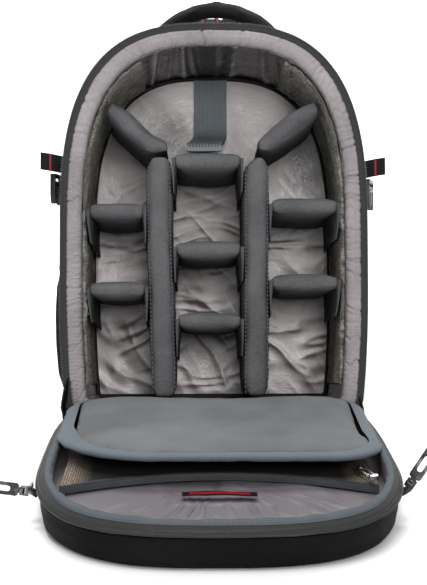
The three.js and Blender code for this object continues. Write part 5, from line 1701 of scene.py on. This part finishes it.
    def build(self) -> None:
        """Makes all of the lid's own pieces."""
        self.shell()
        self.lining()
        self.binding()
        chevron = ((0.95, 0.6), (0.42, -0.6))
        Zip(HINGE.lid, "lid_zip", 0.4, 8.3, 1, rows=chevron, fall=2.6, coil=3.0).build("zip_tape", ("lid_zip",))
        self.label()
        self.hinge()


@dataclass
class Flap:
    """Padded flap over the lid with its ribbon edge."""

    width: float = 296.0
    reach: float = 222.0
    back: float = 7.0
    foam: float = 15.0
    edge: float = 8.0
    under: float = 1.5
    corner_left: float = 92.0
    corner_right: float = 46.0
    stuffing: Stuffing = Stuffing(voxel=6.0, pressure=3.0, most=4.5, shrink=1.2)

    def line(self, inset: float, count: int = 300) -> np.ndarray:
        """The flap's outline, set in, at even spacing.

        Args:
            inset: Distance in from its edge.
            count: Points round it.

        Returns:
            Rows of x and y.
        """
        half, front, back, rear = self.width / 2 - inset, self.reach - inset, self.back + inset, 24.0
        corners = [
            (half - rear, back + rear, rear, -90),
            (half - self.corner_right, front - self.corner_right, self.corner_right, 0),
            (-half + self.corner_left, front - self.corner_left, self.corner_left, 90),
            (-half + rear, back + rear, rear, 180),
        ]
        points = []
        for cx, cy, radius, start in corners:
            a = np.radians(np.linspace(start, start + 90, 24))
            points.append(np.c_[cx + radius * np.cos(a), cy + radius * np.sin(a)])
        ring = np.vstack([*points, points[0][:1]])
        run = np.r_[0, np.cumsum(np.linalg.norm(np.diff(ring, axis=0), axis=1))]
        at = np.linspace(0, run[-1], count, endpoint=False)
        return np.stack([np.interp(at, run, ring[:, k]) for k in range(2)], -1)

    def loop(self, inset: float, share: float) -> np.ndarray:
        """The outline at a share of the foam's thickness there."""
        line = self.line(inset)
        thick = self.foam + (self.edge - self.foam) * np.clip(line[:, 1] / self.reach, 0, 1)
        return np.c_[line, -(self.under + thick * share)]

    def between(self, beside: list[tuple[float, float]], ahead: list[tuple[float, float]]) -> np.ndarray:
        """Rows round the flap with one section at its sides and back and another at its front.

        Args:
            beside: Inset and share of each row at the sides.
            ahead: The same at the front.

        Returns:
            A grid of rows, places and coordinates.
        """
        share = np.clip((self.reach - 22 - self.line(0.0)[:, 1]) / 50, 0, 1)[None, :, None]
        sides, front = (np.array([self.loop(a, b) for a, b in rows]) for rows in (beside, ahead))
        return sides * share + front * (1 - share)

    def build(self) -> None:
        """Makes and stuffs the pad, then rolls the ribbon round its edge."""
        mesh = Mesh(HINGE.lid)
        beside = [(9, 0.1), (8.6, 0.2), (8.2, 0.4), (8.2, 0.62), (8.8, 0.84), (11, 1.0), (16, 1.08), (34, 1.14)]
        ahead = [(7, 0.1), (3.6, 0.14), (1.8, 0.3), (1.4, 0.56), (2.0, 0.8), (4.4, 0.97), (10, 1.06), (34, 1.14)]
        mesh.closed(self.between(beside, ahead), flip=True)
        obj = mesh.object("flap_pad")
        Body.weld(obj)
        self.stuffing.prepare(obj)
        self.stuffing.fill([obj])
        dressed(obj, FLAP, ("padded_flap",))
        beside = [
            (10, 0.1), (6, 0.0), (1.5, -0.02), (0, 0.06), (-0.2, 0.2), (1.0, 0.33), (4.0, 0.54), (9.4, 0.84), (14, 0.9),
        ]  # fmt: skip
        ahead = [
            (6, 0.04), (3.4, -0.06), (0.9, -0.02), (-0.1, 0.12), (-0.3, 0.3), (0.0, 0.48), (1.0, 0.62), (3.6, 0.76),
            (8, 0.8),
        ]  # fmt: skip
        grid = self.between(beside, ahead)
        run = np.arange(300)[None, :] * 3.1
        pucker = 0.22 * np.sin(run / 3.7) + 0.5 * NOISE.rough(grid, 22.0)
        grid = pushed(grid, pucker * np.sin(np.linspace(0, np.pi, len(grid)))[:, None], True)
        ribbon = Mesh(HINGE.lid)
        ribbon.grid(grid, wrap=True, ring=True, flip=True)
        dressed(ribbon.object("flap_ribbon"), FLAP_BINDING_PAINTED_LIGHT, ("flap_binding",))


@dataclass
class Pocket:
    """Mesh pocket on the lid with its zipped band, slider and bright pull."""

    width: float = 276.0
    reach: float = 202.0
    sweep: float = 46.0
    floor: float = 20.9
    top: float = 8.9
    slump: float = 5.0

    def front(self, x: np.ndarray) -> np.ndarray:
        """Where the band's face is at a distance from the middle."""
        return self.reach + self.sweep * (2 * x / self.width) ** 2

    def build(self) -> None:
        """Makes the mesh, the band, its coil and the metal pieces."""
        cols, rows = 80, 54
        x = np.linspace(-self.width / 2 + 0.5, self.width / 2 - 0.5, cols)[None, :]
        t = np.linspace(0, 1, rows)[:, None]
        back = 8.4
        taper = 1 - t * (1 - 0.968)
        y = (self.front(x) - 3.3) * (1 - t) + back * t
        sag = 1.6 * np.sin(np.pi * t) * (1 - (2 * x / self.width) ** 2)
        low = self.slump * (1 - t) ** 2
        slack = sag + 0.5 * NOISE.rough(np.stack([x + 0 * t, y, 0 * y], -1), 30.0)
        z = self.top + 0.6 + low + np.clip(slack, -0.3, 3.0)
        grid = np.stack([x * taper, y, z], -1)
        mesh = Mesh(HINGE.lid)
        mesh.closed(np.concatenate([grid, grid[::-1] + [0, 0, 0.8]]).transpose(1, 0, 2), flip=True)
        obj = dressed(mesh.object("pocket_net"), MESH, ("mesh_pocket",))
        line = x[0]
        top = self.top + self.slump
        section = [(0.0, self.floor), (0.2, top + 3), (-0.6, top + 0.6), (-3.0, top), (-3.0, self.floor)]
        band = np.array([np.c_[line, self.front(line) + a, np.full(cols, b)] for a, b in section])
        band[1:3, :, 1] += 0.5 * NOISE.at(np.c_[line / 12, np.zeros((cols, 2))])
        strip = Mesh(HINGE.lid)
        strip.closed(band.transpose(1, 0, 2), flip=True)
        dressed(strip.object("pocket_ribbon"), POCKET_BAND_PAINTED_SHADE, ("pocket_band",))
        seam = np.c_[line, self.front(line) - 1.2, np.full(cols, top - 0.4)]
        spots = spaced(seam, 2.4)
        axes = seam_frames(spots, np.tile([0.0, 0.0, -1.0], (len(spots), 1)))[:, [1, 0, 2]]
        coil = Mesh(HINGE.lid)
        coil.stamp(spots, axes, (3.0, 1.5, 1.0))
        dressed(coil.object("pocket_coil"), ZIP_COIL, ("pocket_band",))
        slider = copied("inner_zip_slider", "pocket_slider", 0.6)
        dressed(slider, BRIGHT_ZINC, ("inner_zip_slider",))
        pull = copied("inner_zip_pull", "pocket_pull", 0.4)
        dressed(pull, BRIGHT_ZINC, ("inner_zip_pull",))


class LidPulls:
    """The main zip's two sliders and their long pulls."""

    def build(self) -> None:
        """Makes both sides."""
        for side in ("left", "right"):
            slider = copied(f"lid_slider_{side}", f"zip_slider_{side}", 0.35)
            dressed(slider, BLACK_ZINC, (f"lid_slider_{side}",))
            pull = copied(f"lid_pull_{side}", f"zip_pull_{side}", 0.45)
            dressed(pull, BLACK_ZINC, (f"lid_pull_{side}",), body=f"pull_{side}")


@dataclass
class Studio:
    """Pale floor, soft light and the camera."""

    lens: float = 1490.0 * 36.0 / 585.0
    spot: tuple[float, float, float] = (-24.9, -1489.6, 369.0)
    yaw: float = 0.9167
    pitch: float = 8.007

    def floor(self) -> None:
        """A pale sweep that curves up behind the bag."""
        cols = np.linspace(-6000, 6000, 25)
        profile = [(-5000, 0), (1200, 0), (2200, 0), (2900, 160), (3400, 700), (3600, 1600), (3650, 5000)]
        rows = smoothed(np.array(profile, float), 60)
        grid = np.array([np.c_[cols, np.full(25, y), np.full(25, z)] for y, z in rows])
        mesh = Mesh(Place((0.0, 0.0, -0.2), None))
        mesh.grid(grid * [1, -1, -1], flip=True)
        obj = mesh.object("studio_floor")
        finish = Finish("painted_studio_floor", "#f7f7f7", "#f3f3f4", 0.9, grain=Grain.SPACE)
        obj.data.materials.append(finish.material())

    def light(
        self, name: str, place: tuple[float, float, float], aim: tuple[float, float, float], size: float, power: float
    ) -> None:
        """One soft box.

        Args:
            name: Its name.
            place: Where it hangs, in metres.
            aim: What it faces, in metres.
            size: Its side in metres.
            power: Its power in watts.
        """
        data = bpy.data.lights.new(name, "AREA")
        data.size, data.energy = size, power
        obj = bpy.data.objects.new(name, data)
        obj.location = place
        obj.rotation_euler = (Vector(aim) - Vector(place)).to_track_quat("-Z", "Y").to_euler()
        bpy.context.scene.collection.objects.link(obj)

    def build(self) -> None:
        """Makes the floor, the lights, the world and the camera."""
        self.floor()
        self.light("top_box", (-0.2, -0.75, 2.1), (0.0, 0.0, 0.15), 1.1, 30.0)
        self.light("front_box", (0.3, -2.7, 1.15), (0.0, 0.0, 0.25), 0.9, 36.0)
        self.light("back_box", (0.0, 1.6, 2.8), (0.0, 3.2, 0.5), 3.0, 190.0)
        scene = bpy.context.scene
        world = scene.world or bpy.data.worlds.new("studio_air")
        scene.world = world
        world.use_nodes = True
        world.node_tree.nodes["Background"].inputs[0].default_value = (1, 1, 1, 1)
        world.node_tree.nodes["Background"].inputs[1].default_value = 0.4
        scene.view_settings.view_transform = "Standard"
        data = bpy.data.cameras.new("camera")
        data.lens, data.sensor_width, data.clip_end = self.lens, 36.0, 50.0
        camera = bpy.data.objects.new("camera", data)
        hinge = HINGE.body.origin
        camera.location = ((self.spot[0] + hinge[0]) * MM, (self.spot[1] + hinge[1]) * MM, self.spot[2] * MM)
        camera.rotation_euler = Euler((math.radians(90 - self.pitch), 0, math.radians(-self.yaw)))
        scene.collection.objects.link(camera)
        scene.camera = camera


def main() -> None:
    """Builds the backpack piece by piece, then the studio."""
    logging.basicConfig(level=logging.INFO, format="%(name)s %(message)s")
    Studio().build()
    Body().build()
    Dividers().build()
    Harness().build()
    SideStraps().build()
    Lid().build()
    Flap().build()
    Pocket().build()
    LidPulls().build()


if __name__ == "__main__":
    main()
